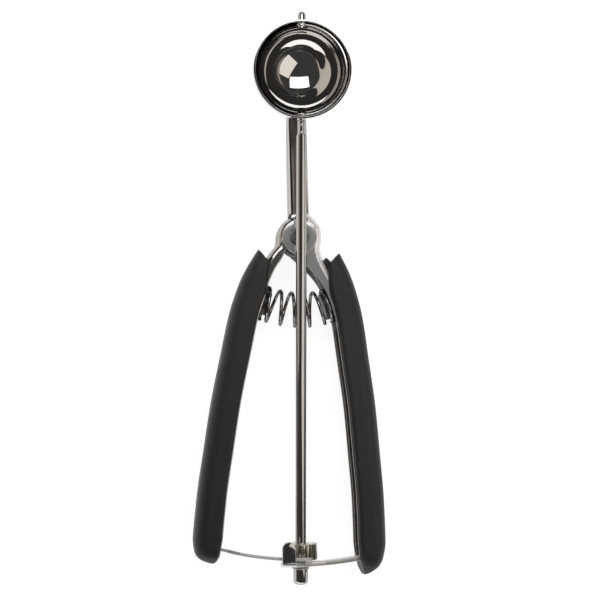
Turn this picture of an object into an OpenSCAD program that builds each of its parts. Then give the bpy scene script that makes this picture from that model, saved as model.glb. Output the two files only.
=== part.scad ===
// Lever ice cream scoop: two nested sheet-metal levers squeeze against a coil
// spring, and a rack on one lever turns the scraper's rod through its pinion.
//
// The working frame has its origin on the lever pivot's axis: +X to the right,
// +Y towards the bowl, +Z out of the bowl's mouth. The scoop lies on its grips,
// whose backs touch z = 0, and the last translation centres it in X and Y.

/* [Bowl] */
// Inner diameter of the bowl's mouth
bowl_inner_d = 35.2; // [32:0.1:38]
// Thickness of the bowl's sheet
bowl_wall = 0.8; // [0.6:0.05:1.1]
// Height of the straight band from the scraper's axis to the rim
rim_band = 4; // [3.5:0.1:6]
// Distance along the rod from the lever pivot to the bowl's centre
bowl_reach = 61.7; // [55:0.1:72]

/* [Scraper] */
// Width of the scraper blade at its middle
blade_w = 6; // [4.5:0.1:6.5]
// Width of the scraper blade next to its two ends
blade_end_w = 3.4; // [3.1:0.1:4]
// Thickness of the scraper blade
blade_t = 0.7; // [0.5:0.05:1]
// Clearance between the blade and the bowl
blade_gap = 0.3; // [0.2:0.05:0.5]
// Diameter of the pin on top of the scraper
top_pin_d = 3; // [2.4:0.1:3.4]
// Length of the top pin that shows outside the bowl
top_pin_out = 3.6; // [2.5:0.1:5]

/* [Rod] */
// Diameter of the scraper's rod
rod_d = 4; // [3.6:0.1:4.4]
// Height of the rod's axis over the levers' middle plane at the pivot
rod_front = 11.8; // [11.2:0.1:13]
// Height of the rod's axis over the levers' middle plane at the rack
rod_foot = 0.7; // [0:0.1:1.2]
// Diameter of the cap on the rod's lower end
cap_d = 5.4; // [5:0.1:6]
// Length of that cap
cap_len = 5.9; // [5:0.1:7]

/* [Rack and pinion] */
// Number of teeth on the pinion
pinion_teeth = 18; // [16:1:20]
// Module of the teeth
tooth_module = 0.615; // [0.56:0.005:0.66]
// Height of the pinion
pinion_h = 6; // [5:0.1:7]
// Number of tooth gaps in the rack
rack_gaps = 13; // [12:1:14]
// Radius of the rack's middle about the lever pivot
rack_r = 120.4; // [118:0.1:124]
// Thickness of the rack's sheet
rack_t = 1.2; // [1:0.05:1.3]
// Height of solid sheet in front of the rack's teeth
rack_back = 3; // [2.5:0.1:3.5]

/* [Levers] */
// Thickness of the levers' sheet
sheet = 1.2; // [1:0.05:1.3]
// Outer depth of the right lever's channel
channel_depth = 14; // [13.4:0.1:14.6]
// Clearance between the two nested levers on each face
nest_gap = 0.2; // [0.15:0.05:0.3]
// Outer radius of the channel's bends
bend_r = 2.5; // [2:0.1:2.8]
// Radius of the left lever's rounded head
head_r = 8.25; // [8:0.05:8.4]
// Radius of the flat round cheeks about the pivot
cheek_r = 6.6; // [6.2:0.1:6.8]
// Angle that the left lever opens past the right one's mirror image
rest_open = 4.3; // [3.9:0.1:4.6]
// Diameter of the pivot rivet's shank
pivot_d = 4; // [3.4:0.1:4.4]
// Running clearance on the radius of pins and shafts
run_gap = 0.05; // [0.03:0.01:0.08]

/* [Neck] */
// Width of the neck that carries the bowl
neck_w = 7.6; // [7:0.1:8.2]
// Depth of the neck's side walls at the pivot
neck_wall = 8; // [7:0.1:9]
// Angle over which the neck's tongue wraps the bowl's back
tongue_wrap = 22; // [16:1:28]

/* [Grips] */
// How far the grips' lower tips reach below the rack
grip_past = 6.1; // [5.5:0.1:8.5]
// Largest distance from the pivot's axis line to a grip's outer side
handle_spread = 31.6; // [31:0.1:33]
// Width of a grip, seen from the front
grip_w = 10.3; // [10:0.1:11]
// Depth of a grip, front to back
grip_depth = 18; // [17.4:0.1:19]
// Rubber outside the lever's web along the grip
grip_wall = 2.2; // [2:0.1:2.5]
// Edge of each lever that stands out of the rubber
flange_show = 0.4; // [0.2:0.1:0.6]

/* [Spring] */
// Outer diameter of the return spring
spring_d = 13.7; // [12.8:0.1:14]
// Diameter of the spring's wire
wire_d = 1.3; // [1.1:0.05:1.4]
// Number of coils
spring_coils = 6; // [5:1:7]
// Distance from the pivot down to the spring
spring_drop = 25.3; // [24.5:0.1:26.5]

/* [Stirrup] */
// Thickness of the bar that carries the rod's lower end
bar_t = 1.8; // [1.6:0.1:2]
// Depth of that bar, front to back
bar_depth = 8; // [7:0.1:9]
// Clearance between the rack and the bar under it
bar_gap = 0.5; // [0.45:0.05:0.7]
// Width of the ear in front of the rack
ear_w = 5; // [4.5:0.1:5.5]
// Height of the ear over the bar
ear_h = 7.6; // [7:0.1:8.2]

/* [Hidden] */
$fn = 96;

// How far cutting tools run past what they cut
over = 1;
// Clearance of pressed and riveted pieces on the radius
press_gap = 0.02;
// Clearance between pieces that only lie against each other
lay_gap = 0.05;

// --- Main places -------------------------------------------------------------
z_mid = grip_depth / 2;
tilt = atan((rod_front - rod_foot) / rack_r);
rod_r = rod_d / 2;
bowl_ri = bowl_inner_d / 2;
bowl_ro = bowl_ri + bowl_wall;
blade_ro = bowl_ri - blade_gap;
blade_ri = blade_ro - blade_t;
// Bowl's centre in the working frame
bowl_y = bowl_reach * cos(tilt);
bowl_z = z_mid + rod_front + bowl_reach * sin(tilt);

half = channel_depth / 2;
nested_half = half - sheet - nest_gap;

// --- Rack and pinion ---------------------------------------------------------
pitch_r = pinion_teeth * tooth_module / 2;
tip_r = pitch_r + tooth_module;
root_r = pitch_r - 1.25 * tooth_module;
pressure = 20;
backlash = 0.12;
tooth_pitch = PI * tooth_module;
rack_step = tooth_pitch / rack_r * 180 / PI;
// Distance from the pivot to the grips' lower tips
handle_len = rack_r + grip_past;
rack_ri = rack_r - rack_t / 2;
rack_ro = rack_r + rack_t / 2;
// Heights over the rod's axis, square to it, of the rack's pitch line, tips, roots and front
rack_tip_h = pitch_r - tooth_module;
rack_root_h = pitch_r + 1.3 * tooth_module;
rack_front_h = rack_root_h + rack_back;
bar_ri = rack_ro + bar_gap;
bar_ro = bar_ri + bar_t;
pinion_gap = 0.3;
pinion_low = -(bar_ri - pinion_gap - tip_r * sin(tilt)) / cos(tilt);
washer_r = 3.4;
washer_t = 0.35;
washer_top = -(bar_ro + washer_r * sin(tilt) + 2 * lay_gap) / cos(tilt);
cap_top = washer_top - washer_t - lay_gap;
cap_low = cap_top - cap_len;

// --- Centring of the whole scoop ----------------------------------------------
top_y = (bowl_reach + bowl_ro + top_pin_out) * cos(tilt);
low_y = cap_low * cos(tilt);
widest_y = -0.906 * handle_len;
left_x = -handle_spread * cos(rest_open) + widest_y * sin(rest_open);
centre = [(left_x + handle_spread) / 2, (top_y + low_y) / 2, 0];

// --- Small functions -----------------------------------------------------------
// Slope between neighbouring points of a curve given as [x, y] with y falling
function seg_slope(p, i) = (p[i + 1][0] - p[i][0]) / (p[i + 1][1] - p[i][1]);
// Tangent at point i: none where the curve turns back, else the neighbours' harmonic mean
function tangent(p, i) =
    i == 0 ? seg_slope(p, 0) :
    i == len(p) - 1 ? seg_slope(p, i - 1) :
    let (a = seg_slope(p, i - 1), b = seg_slope(p, i))
    a * b <= 0 ? 0 : 2 * a * b / (a + b);
// Index of the stretch of the curve that holds the height y
function stretch(p, y, i = 0) = i >= len(p) - 2 || y >= p[i + 1][1] ? i : stretch(p, y, i + 1);
// x of the smooth curve through the points at the height y
function curve(p, y) =
    let (i = stretch(p, y), h = p[i + 1][1] - p[i][1], t = (y - p[i][1]) / h)
    (2 * pow(t, 3) - 3 * pow(t, 2) + 1) * p[i][0] + (pow(t, 3) - 2 * pow(t, 2) + t) * h * tangent(p, i)
    + (3 * pow(t, 2) - 2 * pow(t, 3)) * p[i + 1][0] + (pow(t, 3) - pow(t, 2)) * h * tangent(p, i + 1);
// Points of an arc, from angle a0 to a1 in n steps
function arc(c, rx, rz, a0, a1, n) =
    [for (i = [0:n]) let (a = a0 + (a1 - a0) * i / n) [c[0] + rx * cos(a), c[1] + rz * sin(a)]];
// Heights from y0 down to y1 in n steps
function steps(y0, y1, n) = [for (i = [0:n]) y0 + (y1 - y0) * i / n];
// A list from its end to its start
function rising(v) = [for (i = [len(v) - 1:-1:0]) v[i]];
// Sum of two vectors scaled, for walking along a direction
function along(p, d, s) = [for (i = [0:len(p) - 1]) p[i] + d[i] * s];

// Sides of a skin through m rings of n points
function skin_sides(n, m) = [for (i = [0:m - 2]) for (j = [0:n - 1]) each [
    [i * n + j, (i + 1) * n + j, (i + 1) * n + (j + 1) % n],
    [i * n + j, (i + 1) * n + (j + 1) % n, i * n + (j + 1) % n]
]];

// A closed skin through rings of equally many points, with its two ends capped
module skin(rings) {
    n = len(rings[0]);
    m = len(rings);
    polyhedron(
        points = [for (ring = rings) for (p = ring) p],
        faces = concat([[for (j = [0:n - 1]) j]], skin_sides(n, m),
            [[for (j = [n - 1:-1:0]) (m - 1) * n + j]])
    );
}

// The same for a bent strip of sheet, whose ring runs out on one face and back on the other
module sheet_skin(rings) {
    n = len(rings[0]);
    m = len(rings);
    last = (m - 1) * n;
    polyhedron(
        points = [for (ring = rings) for (p = ring) p],
        faces = concat(
            [for (j = [0:n / 2 - 2]) each [[j, j + 1, n - 2 - j], [j, n - 2 - j, n - 1 - j]]],
            skin_sides(n, m),
            [for (j = [0:n / 2 - 2]) each [
                [last + n - 2 - j, last + j + 1, last + j], [last + n - 1 - j, last + n - 2 - j, last + j]
            ]]
        )
    );
}

// --- Outlines of the levers and grips, seen from the front, as [x, y] -----------
// The right side's own frame; the left side is the mirror image turned by rest_open
grip_outer = [
    [15.2, -5.9], [18.4, -12.1], [0.66 * handle_spread, -18.2], [0.757 * handle_spread, -30.4],
    [0.824 * handle_spread, -45.7], [0.899 * handle_spread, -63.8],
    [0.947 * handle_spread, -0.647 * handle_len], [0.988 * handle_spread, -0.788 * handle_len],
    [handle_spread, widest_y], [0.968 * handle_spread, 6 - handle_len],
    [0.918 * handle_spread, 3 - handle_len], [0.8 * handle_spread, 0.4 - handle_len],
    [0.763 * handle_spread, -handle_len]
];
// Below this height the grip keeps its full width
grip_full_y = -26;
grip_end_y = -0.906 * handle_len;
grip_lip = [
    [9.65, -5.9], [9.9, -8.5], [10.6, -12], [11.1, -20.5],
    [curve(grip_outer, grip_full_y) - grip_w, grip_full_y]
];
grip_tail = [
    [curve(grip_outer, grip_end_y) - grip_w, grip_end_y],
    [0.706 * handle_spread, 3.7 - handle_len], [0.748 * handle_spread, -handle_len]
];
function grip_out(y) = curve(grip_outer, y);
function grip_in(y) =
    y > grip_full_y ? curve(grip_lip, y) :
    y > grip_end_y ? grip_out(y) - grip_w : curve(grip_tail, y);

// The web runs free at the head, then inside the rubber
web_join_y = -47;
lever_end_y = 5 - handle_len;
cheek_edge = neck_w / 2;
right_web_head = [
    [cheek_edge, 9], [6.4, 6.2], [8.07, 3.7], [8.45, -0.1], [7.9, -4.3], [8.45, -7.3], [9.6, -9.95],
    [13.4, -17], [16.8, -23], [19.6, -30.4], [21.9, -38],
    [curve(grip_outer, web_join_y) - grip_wall, web_join_y]
];
left_web_head = [
    [sqrt(pow(head_r, 2) - 1), -1], [8.3, -3], [10.2, -5.9], [12, -8.9], [13.9, -13],
    [15.8, -17.5], [18.2, -24], [20.2, -30.4], [22.1, -38],
    [curve(grip_outer, web_join_y) - grip_wall, web_join_y]
];
function web_out(head, y) = y > web_join_y ? curve(head, y) : grip_out(y) - grip_wall;

flange_join_y = -30.4;
right_flange_head = [
    [-1.1, 9], [-2.6, 5.5], [-4.9, 2.2], [-7, -1.5], [-4.6, -4.2], [-1.5, -7.1], [2.9, -11.1],
    [8.45, -17.9], [11.3, -24.3], [grip_in(flange_join_y) - flange_show, flange_join_y]
];
left_flange_head = [
    [2, -1], [3.2, -3.2], [4.8, -5.2], [5.9, -8.2], [8.45, -12.9], [10.6, -19.2],
    [11.6, -24.3], [grip_in(flange_join_y) - flange_show, flange_join_y]
];
function flange_in(head, y) = y > flange_join_y ? curve(head, y) : grip_in(y) - flange_show;

// Thickness of a wall along X where its outline slants, for the same sheet
function slant(head, y) =
    min(1.5, sqrt(1 + pow(web_out(head, y + 0.05) - web_out(head, y - 0.05), 2) * 100));

// --- Channel of a lever ----------------------------------------------------------
// Section of a channel: web out to o, flanges in to i, h from its middle, f for a slanting web
function section(o, i, f, h) =
    let (r = bend_r, q = bend_r - sheet, c = o - r * f)
    concat(
        [[i, h]], arc([c, h - r], r * f, r, 90, 0, 4), arc([c, r - h], r * f, r, 0, -90, 4), [[i, -h]],
        [[i, sheet - h]], arc([c, r - h], q * f, q, -90, 0, 4), arc([c, h - r], q * f, q, 0, 90, 4),
        [[i, h - sheet]]
    );
// Ring of that section at the height y of a lever
function channel_ring(web, flange, h, y) =
    [for (p = section(web_out(web, y), flange_in(flange, y), slant(web, y), h)) [p[0], y, p[1]]];
// Ring of the left lever's head at the angle a round the pivot
function head_ring(a) =
    [for (p = section(head_r, rim_in, 1, nested_half)) [p[0] * cos(a), p[0] * sin(a), p[1]]];
// The same section closed on its open side, as the space that the channel takes up
function filled_ring(web, flange, h, y) =
    let (o = web_out(web, y), i = flange_in(flange, y) - over, f = slant(web, y), r = bend_r,
         c = o - r * f)
    [for (p = concat(
        [[i, h]], arc([c, h - r], r * f, r, 90, 0, 4), arc([c, r - h], r * f, r, 0, -90, 4), [[i, -h]]
    )) [p[0], y, p[1]]];

function channel(web, flange, h, heights) = [for (y = rising(heights)) channel_ring(web, flange, h, y)];

tail_y = lever_end_y + 17.6;
arm_heights = concat(steps(-12, web_join_y, 10), steps(-54, tail_y, 6), steps(tail_y - 2.2, lever_end_y, 7));
right_heights = concat(steps(9, -10.5, 13), arm_heights);
left_heights = concat(steps(-1, -10, 6), arm_heights);

// Places the left side's own frame, a mirror image of the right's
module left_side() {
    rotate([0, 0, -rest_open]) mirror([1, 0, 0]) children();
}

// Frame along the rod: z along it to the bowl, y to the back, origin over the pivot
module rod_frame() {
    translate([0, 0, z_mid + rod_front]) rotate([tilt - 90, 0, 0]) children();
}

// The whole scoop in its final place
module placed() {
    translate(-centre) children();
}

// Two flat round cheeks of a lever about the pivot, h apart from the middle plane
module cheeks(r, h) {
    for (s = [0, 1]) mirror([0, 0, s]) translate([0, 0, h - sheet]) cylinder(r = r, h = sheet);
}

// --- Neck frame: right lever and neck, pressed from one sheet -----------------------
neck_start_y = 9;
// Front face of the neck: from its start straight to where it meets the bowl's back
neck_from = [neck_start_y, z_mid + half];
wrap_r = bowl_ro + lay_gap;
to_bowl = [bowl_y - neck_from[0], bowl_z - neck_from[1]];
neck_angle = atan2(to_bowl[1], to_bowl[0]) - asin(wrap_r / norm(to_bowl));
neck_run = sqrt(pow(norm(to_bowl), 2) - pow(wrap_r, 2));
wall_run = 0.9 * neck_run;
neck_bend = 2.2;

// Point [y, z] on the neck's front face and the face's angle, s along it from its start
function neck_at(s) =
    s <= neck_run ? concat(along(neck_from, [cos(neck_angle), sin(neck_angle)], s), [neck_angle])
    : let (a = neck_angle + (s - neck_run) / wrap_r * 180 / PI)
      [bowl_y + wrap_r * sin(a), bowl_z - wrap_r * cos(a), a];
// Depth of the side walls, s along the neck
function wall_at(s) =
    sheet + (s < wall_run ? (neck_wall - sheet) * (1 - pow(s / wall_run, 3)) : 0);
// Half the width of the neck: its tongue's end is round
tongue_len = wrap_r * tongue_wrap * PI / 180;
function neck_half(s) =
    let (k = (s - neck_run - tongue_len + neck_w / 2) / (neck_w / 2))
    neck_w / 2 * (k <= 0 ? 1 : sqrt(max(0.01, 1 - k * k)));
// How far the face bends away at x to follow the bowl, growing as the neck reaches it
function follow(s, x) =
    (wrap_r - sqrt(pow(wrap_r, 2) - x * x)) * min(1, max(0, (s - wall_run) / (neck_run - wall_run)));

// Point x across and u off the neck's front face, s along it
function on_neck(s, x, u) =
    let (at = neck_at(s), v = u - follow(s, x))
    [x, at[0] - v * sin(at[2]), at[1] + v * cos(at[2])];
// Ring of the neck's outer form: bent edges, and walls to the depth at s
function neck_ring(s) =
    let (w = neck_half(s), d = wall_at(s), r = min(neck_bend, d - 0.05, 0.6 * w))
    [for (p = concat([[-w, -d]], arc([r - w, -r], r, r, 180, 90, 4), arc([w - r, -r], r, r, 90, 0, 4),
        [[w, -d]])) on_neck(s, p[0], p[1])];
// Ring of the hollow between its walls, open to the back
function hollow_ring(s) =
    let (w = neck_w / 2 - sheet, d = neck_wall + over, r = neck_bend - sheet)
    [for (p = concat([[-w, -d]], arc([r - w, -sheet - r], r, r, 180, 90, 3),
        arc([w - r, -sheet - r], r, r, 90, 0, 3), [[w, -d]])) on_neck(s, p[0], p[1])];

module neck() {
    runs = concat([0], steps(4, wall_run, 8), steps(wall_run + 2, neck_run, 2),
        [for (k = [1:6]) neck_run + tongue_len * sin(15 * k)]);
    difference() {
        skin([for (s = runs) neck_ring(s)]);
        skin([for (s = steps(-over, wall_run - 1.5, 9)) hollow_ring(s)]);
        // The left wall ends in a slanting cut beside the pivot
        translate([0, 0, -over]) linear_extrude(z_mid + half + 2 * over)
            polygon([[-neck_w, 14], [-neck_w, 7], [-1.1, 7], [-1.1, 6.8], [-neck_w / 2, 10.5]]);
    }
}

rivet_r = 1.2;
rivet_pitch = 4.2;
rivet_sunk = 0.15;
tab_h = 11.4;
// Height where a bar of radius r about the pivot crosses the upright line at x
function crossing(r, x) = -sqrt(pow(r, 2) - pow(x, 2));
// Outer face of a tab inside the web, from the bar whose lower face has the radius r up by tab_h
function tab_face(web, r) =
    let (y = crossing(r, handle_spread - grip_wall))
    min(web_out(web, y), web_out(web, y + tab_h)) - sheet - lay_gap;
tab_face_left = tab_face(left_web_head, rack_ro);
tab_face_right = tab_face(right_web_head, bar_ro);
rack_foot = crossing(rack_r, tab_face_left);
bar_foot = crossing(bar_ri + bar_t / 2, tab_face_right);
rack_rivet_heights = [rack_foot + 4, rack_foot + 4 + rivet_pitch];
bar_rivet_heights = [bar_foot + 4, bar_foot + 4 + rivet_pitch];

// Holes through a web or a tab for the rivets at these heights, z over the middle plane
module rivet_holes(heights, z) {
    for (y = heights) translate([handle_spread / 2, y, z]) rotate([0, 90, 0])
        cylinder(r = rivet_r + press_gap, h = handle_spread);
}

module neck_frame() {
    color("silver") placed() union() {
        neck();
        translate([0, 0, z_mid]) difference() {
            union() {
                sheet_skin(channel(right_web_head, right_flange_head, half, right_heights));
                cheeks(cheek_r, half);
            }
            cylinder(d = pivot_d + 2 * press_gap, h = 2 * channel_depth, center = true);
            // The back cheek and wall are cut away towards the neck
            rotate([90, 0, 90]) linear_extrude(2 * neck_w, center = true)
                polygon([[7.2, -half - over], [9.4, neck_wall / -8], [12, 0], [12, -half - over]]);
            rivet_holes(bar_rivet_heights, 0);
        }
    }
}

// --- Bowl ------------------------------------------------------------------------
// A half sphere with a straight band on top, its axis out of the mouth
module bowl_form(r, band) {
    intersection() {
        sphere(r = r);
        translate([0, 0, -r]) cube(2 * r, center = true);
    }
    cylinder(r = r, h = band);
}

module bowl() {
    color("gainsboro") placed() rod_frame() translate([0, 0, bowl_reach]) difference() {
        rotate([90, 0, 0]) difference() {
            bowl_form(bowl_ro, rim_band);
            bowl_form(bowl_ri, rim_band + over);
        }
        cylinder(d = top_pin_d + 2 * run_gap, h = bowl_ro + over);
        mirror([0, 0, 1]) cylinder(r = journal_r + run_gap, h = bowl_ro + over);
    }
}

// --- Grips ---------------------------------------------------------------------------
grip_round_out = 5;
grip_round_in = 1.6;
// Depth of a grip at the height y: full, with a little less at the fin and a rounded tip
function grip_deep(y) =
    let (k = max(0, (8.5 - handle_len - y) / 8.5), n = max(0, (y + 16) / 10))
    (grip_depth - 7) + 7 * sqrt(max(0, 1 - k * k)) - 2 * n * n - 4 * pow(k, 3);

function grip_ring(y) =
    let (o = grip_out(y), i = grip_in(y), h = grip_deep(y) / 2, w = o - i,
         a = min(grip_round_out, 0.55 * w), c = min(grip_round_in, 0.2 * w))
    [for (p = concat(
        arc([i + c, h - c], c, c, 180, 90, 3), arc([o - a, h - a], a, a, 90, 0, 6),
        arc([o - a, a - h], a, a, 0, -90, 6), arc([i + c, c - h], c, c, -90, -180, 3)
    )) [p[0], y, p[1]]];

grip_top_y = -5.9;
grip_heights = concat(steps(grip_top_y, -18, 4), steps(-22, -46, 5), steps(-54, grip_end_y, 7),
    [for (k = [1:7]) grip_end_y - (handle_len + grip_end_y) * sin(90 * k / 7)]);

module grip(web, flange, h, heights) {
    difference() {
        skin([for (y = rising(grip_heights)) grip_ring(y)]);
        // Space of the lever inside the rubber, open on the inner side
        skin([for (y = rising(heights)) if (y < grip_top_y + 3) filled_ring(web, flange, h, y)]);
        // Notch between the flared fin and the lip on the lever's web
        linear_extrude(2 * grip_depth, center = true)
            polygon([[9, -4], [9, -7.2], [9.65, -7.7], [11.7, -9.85], [15.2, -5.9], [15.2, -4]]);
    }
}

module right_grip() {
    color("#262424") placed() translate([0, 0, z_mid])
        grip(right_web_head, right_flange_head, half, right_heights);
}

module left_grip() {
    color("#262424") placed() translate([0, 0, z_mid]) left_side()
        grip(left_web_head, left_flange_head, nested_half, left_heights);
}

// --- Left lever ----------------------------------------------------------------------
// The web goes on as the head's bent rim, round the pivot to over its top
rim_to = 104;
rim_in = 4;

module left_lever() {
    color("silver") placed() translate([0, 0, z_mid]) left_side() difference() {
        union() {
            sheet_skin(concat(
                channel(left_web_head, left_flange_head, nested_half, left_heights),
                [for (a = steps(0, rim_to, 10)) head_ring(a)]
            ));
            cheeks(cheek_r - nest_gap, nested_half);
        }
        cylinder(d = pivot_d + 2 * run_gap, h = 2 * channel_depth, center = true);
        rivet_holes(rack_rivet_heights, tab_low + tab_depth / 2);
    }
}

// --- Pivot ---------------------------------------------------------------------------
washer_out_r = 3.7;
pivot_washer_t = 0.4;
rivet_head_r = 2.6;
rivet_head_h = 1;

module pivot_washers() {
    color("dimgray") placed() translate([0, 0, z_mid]) for (s = [0, 1]) mirror([0, 0, s])
        translate([0, 0, half]) difference() {
            cylinder(r = washer_out_r, h = pivot_washer_t);
            cylinder(d = pivot_d + 2 * press_gap, h = 3 * pivot_washer_t, center = true);
        }
}

module pivot_rivet() {
    color("gray") placed() translate([0, 0, z_mid]) {
        cylinder(d = pivot_d, h = channel_depth + 2 * pivot_washer_t, center = true);
        for (s = [0, 1]) mirror([0, 0, s]) translate([0, 0, half + pivot_washer_t])
            dome(rivet_head_r, rivet_head_h);
    }
}

// A low dome of base radius r and height h, standing on z = 0
module dome(r, h) {
    ball = (r * r + h * h) / (2 * h);
    intersection() {
        translate([0, 0, h - ball]) sphere(r = ball);
        cylinder(r = r, h = h);
    }
}

// --- Return spring and its seats --------------------------------------------------------
coil_r = (spring_d - wire_d) / 2;
seat_face = 0.3;
boss_h = 2.2;
boss_r = coil_r - wire_d / 2 - 0.5;
seat_len = 13;
// Point [x, y] on a flange's edge beside the spring and the edge's lean from the vertical
function seat_at(flange) =
    let (y = -spring_drop)
    [flange_in(flange, y), y, atan((flange_in(flange, y - 1) - flange_in(flange, y + 1)) / 2)];
// The spring's two ends in the working frame: place and the angle of its axis there
function turned(p, a) = [p[0] * cos(a) - p[1] * sin(a), p[0] * sin(a) + p[1] * cos(a)];
seat_r = seat_at(right_flange_head);
seat_l = seat_at(left_flange_head);
axis_r = -180 + seat_r[2];
axis_l = -seat_l[2] - rest_open;
stand_off = seat_face + wire_d / 2 + lay_gap;
end_r = along([seat_r[0], seat_r[1]], [cos(axis_r), sin(axis_r)], stand_off);
end_l = along(turned([-seat_l[0], seat_l[1]], -rest_open), [cos(axis_l), sin(axis_l)], stand_off);
reach = norm(end_r - end_l) / 3;
knots = [end_l, along(end_l, [cos(axis_l), sin(axis_l)], reach),
    along(end_r, [cos(axis_r), sin(axis_r)], reach), end_r];
// Bezier curve of the spring's axis and its direction
function axis_at(t) = knots[0] * pow(1 - t, 3) + knots[1] * 3 * t * pow(1 - t, 2)
    + knots[2] * 3 * t * t * (1 - t) + knots[3] * pow(t, 3);
function axis_dir(t) =
    let (d = (knots[1] - knots[0]) * pow(1 - t, 2) + (knots[2] - knots[1]) * 2 * t * (1 - t)
        + (knots[3] - knots[2]) * t * t) d / norm(d);
// Share of the axis that is passed after c coils: the end coils lie flat on their seats
flat_coils = 0.55;
function share(c) = min(1, max(0, (c - flat_coils) / (spring_coils - 2 * flat_coils)));
function wire_at(c) =
    let (t = share(c), p = axis_at(t), d = axis_dir(t), a = 360 * c - 180)
    [p[0] - coil_r * cos(a) * d[1], p[1] + coil_r * cos(a) * d[0], z_mid + coil_r * sin(a)];
function wire_ring(c) =
    let (p = wire_at(c), q = wire_at(c + 0.01) - wire_at(c - 0.01), d = q / norm(q),
         ax = axis_dir(share(c)), n0 = cross(d, [ax[0], ax[1], 0]), n = n0 / norm(n0), b = cross(d, n))
    [for (k = [0:7]) p + wire_d / 2 * (cos(45 * k) * n + sin(45 * k) * b)];
wire_steps = 18;

module return_spring() {
    color("darkgray") placed()
        skin([for (k = [0:wire_steps * spring_coils]) wire_ring(k / wire_steps)]);
}

// Plug between a lever's flanges, with a boss that centres the spring's end coil
module spring_seat(flange, h) {
    at = seat_at(flange);
    wide = h - sheet - lay_gap;
    translate([at[0], at[1], 0]) rotate([0, 0, 180 + at[2]]) {
        translate([-2.4, -seat_len / 2, -wide]) cube([2.4 + seat_face, seat_len, 2 * wide]);
        rotate([0, 90, 0]) cylinder(r = min(boss_r, wide), h = seat_face + boss_h);
    }
}

module right_spring_seat() {
    color("#3a3838") placed() translate([0, 0, z_mid]) spring_seat(right_flange_head, half);
}

module left_spring_seat() {
    color("#3a3838") placed() translate([0, 0, z_mid]) left_side()
        spring_seat(left_flange_head, nested_half);
}

// --- Rack ------------------------------------------------------------------------------
// Height over the levers' middle plane of a point h in front of the rod's axis at the rack
function over_rod(h) = rod_foot + h / cos(tilt);
rack_tip_x = 1.6 * tooth_pitch;
rack_jog_x = -24.6;
rack_jog = 3.2;
tab_depth = 4.4;
tab_low = -1.2;

module rack() {
    color("silver") placed() translate([0, 0, z_mid]) {
        difference() {
            intersection() {
                difference() {
                    cylinder(r = rack_ro, h = 2 * channel_depth, center = true, $fn = 360);
                    cylinder(r = rack_ri, h = 3 * channel_depth, center = true, $fn = 360);
                }
                rack_outline();
            }
            for (i = [-1:rack_gaps - 2]) rotate([0, 0, -i * rack_step]) rack_gap();
            left_side() translate([tab_face_left, -rack_r - channel_depth, -channel_depth])
                cube(2 * channel_depth);
        }
        left_side() difference() {
            translate([tab_face_left - rack_t, rack_foot, tab_low]) cube([rack_t, tab_h, tab_depth]);
            rivet_holes(rack_rivet_heights, tab_low + tab_depth / 2);
        }
    }
}

// Developed outline of the rack's strip, seen from the bowl: it steps back into the lever
module rack_outline() {
    front = over_rod(rack_front_h);
    tips = over_rod(rack_tip_h);
    rotate([90, 0, 0]) translate([0, 0, rack_ri / 2]) linear_extrude(rack_ri)
        polygon([
            [rack_tip_x, tips + 0.9], [rack_tip_x - 0.5, tips], [rack_jog_x, tips],
            [rack_jog_x - rack_jog, tab_low], [-1.3 * handle_spread, tab_low],
            [-1.3 * handle_spread, tab_low + tab_depth], [rack_jog_x - rack_jog, tab_low + tab_depth],
            [rack_jog_x + 1, front], [rack_tip_x - 1, front], [rack_tip_x, front - 1]
        ]);
}

// One gap between rack teeth, cut along the rod so that it lies square on the pinion's teeth
module rack_gap() {
    past_tips = rack_tip_h - 0.3;
    low = tooth_pitch / 4 + backlash / 4 + (pitch_r - past_tips) * tan(pressure);
    high = tooth_pitch / 4 + backlash / 4 - (rack_root_h - pitch_r) * tan(pressure);
    translate([0, 0, -z_mid]) rod_frame() translate([0, 0, -rack_r - 4]) linear_extrude(8)
        polygon([[-low, -past_tips], [low, -past_tips], [high, -rack_root_h], [-high, -rack_root_h]]);
}

// Rivets through a web and a tab: flush outside under the rubber, domed inside
module tab_rivets(web, heights, z, face, tab) {
    for (y = heights) translate([face - tab, y, z]) {
        rotate([0, 90, 0]) cylinder(r = rivet_r, h = web_out(web, y) - rivet_sunk - face + tab);
        rotate([0, -90, 0]) dome(2.1, 0.8);
    }
}

module rack_rivets() {
    color("gray") placed() translate([0, 0, z_mid]) left_side()
        tab_rivets(left_web_head, rack_rivet_heights, tab_low + tab_depth / 2, tab_face_left, rack_t);
}

// --- Stirrup ---------------------------------------------------------------------------
ear_low = over_rod(rack_front_h) + 0.25;
ear_right = -3;

module stirrup() {
    color("silver") placed() difference() {
        translate([0, 0, z_mid]) {
            intersection() {
                difference() {
                    cylinder(r = bar_ro, h = 2 * channel_depth, center = true, $fn = 360);
                    cylinder(r = bar_ri, h = 3 * channel_depth, center = true, $fn = 360);
                }
                bar_outline();
            }
            ear();
            difference() {
                translate([tab_face_right - bar_t, bar_foot, -bar_depth / 2])
                    cube([bar_t, tab_h, bar_depth]);
                rivet_holes(bar_rivet_heights, 0);
            }
        }
        rod_frame() translate([0, 0, -bar_ro - 4]) cylinder(r = rod_r + run_gap, h = 12);
    }
}

// Developed outline of the bar, seen from the bowl: it widens at the rod into the ear's foot
module bar_outline() {
    front = ear_low + sheet;
    d = bar_depth / 2;
    rotate([90, 0, 0]) translate([0, 0, bar_ri / 2]) linear_extrude(bar_ri)
        polygon([
            [tab_face_right, -d], [tab_face_right, d], [9, d], [4, d + 0.7], [1, d + 2.2],
            [ear_right, front - 0.8], [ear_right, front], [ear_right - ear_w, front],
            [ear_right - ear_w, d], [-4.6, -d + 1.5], [-3.2, -d]
        ]);
}

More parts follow.
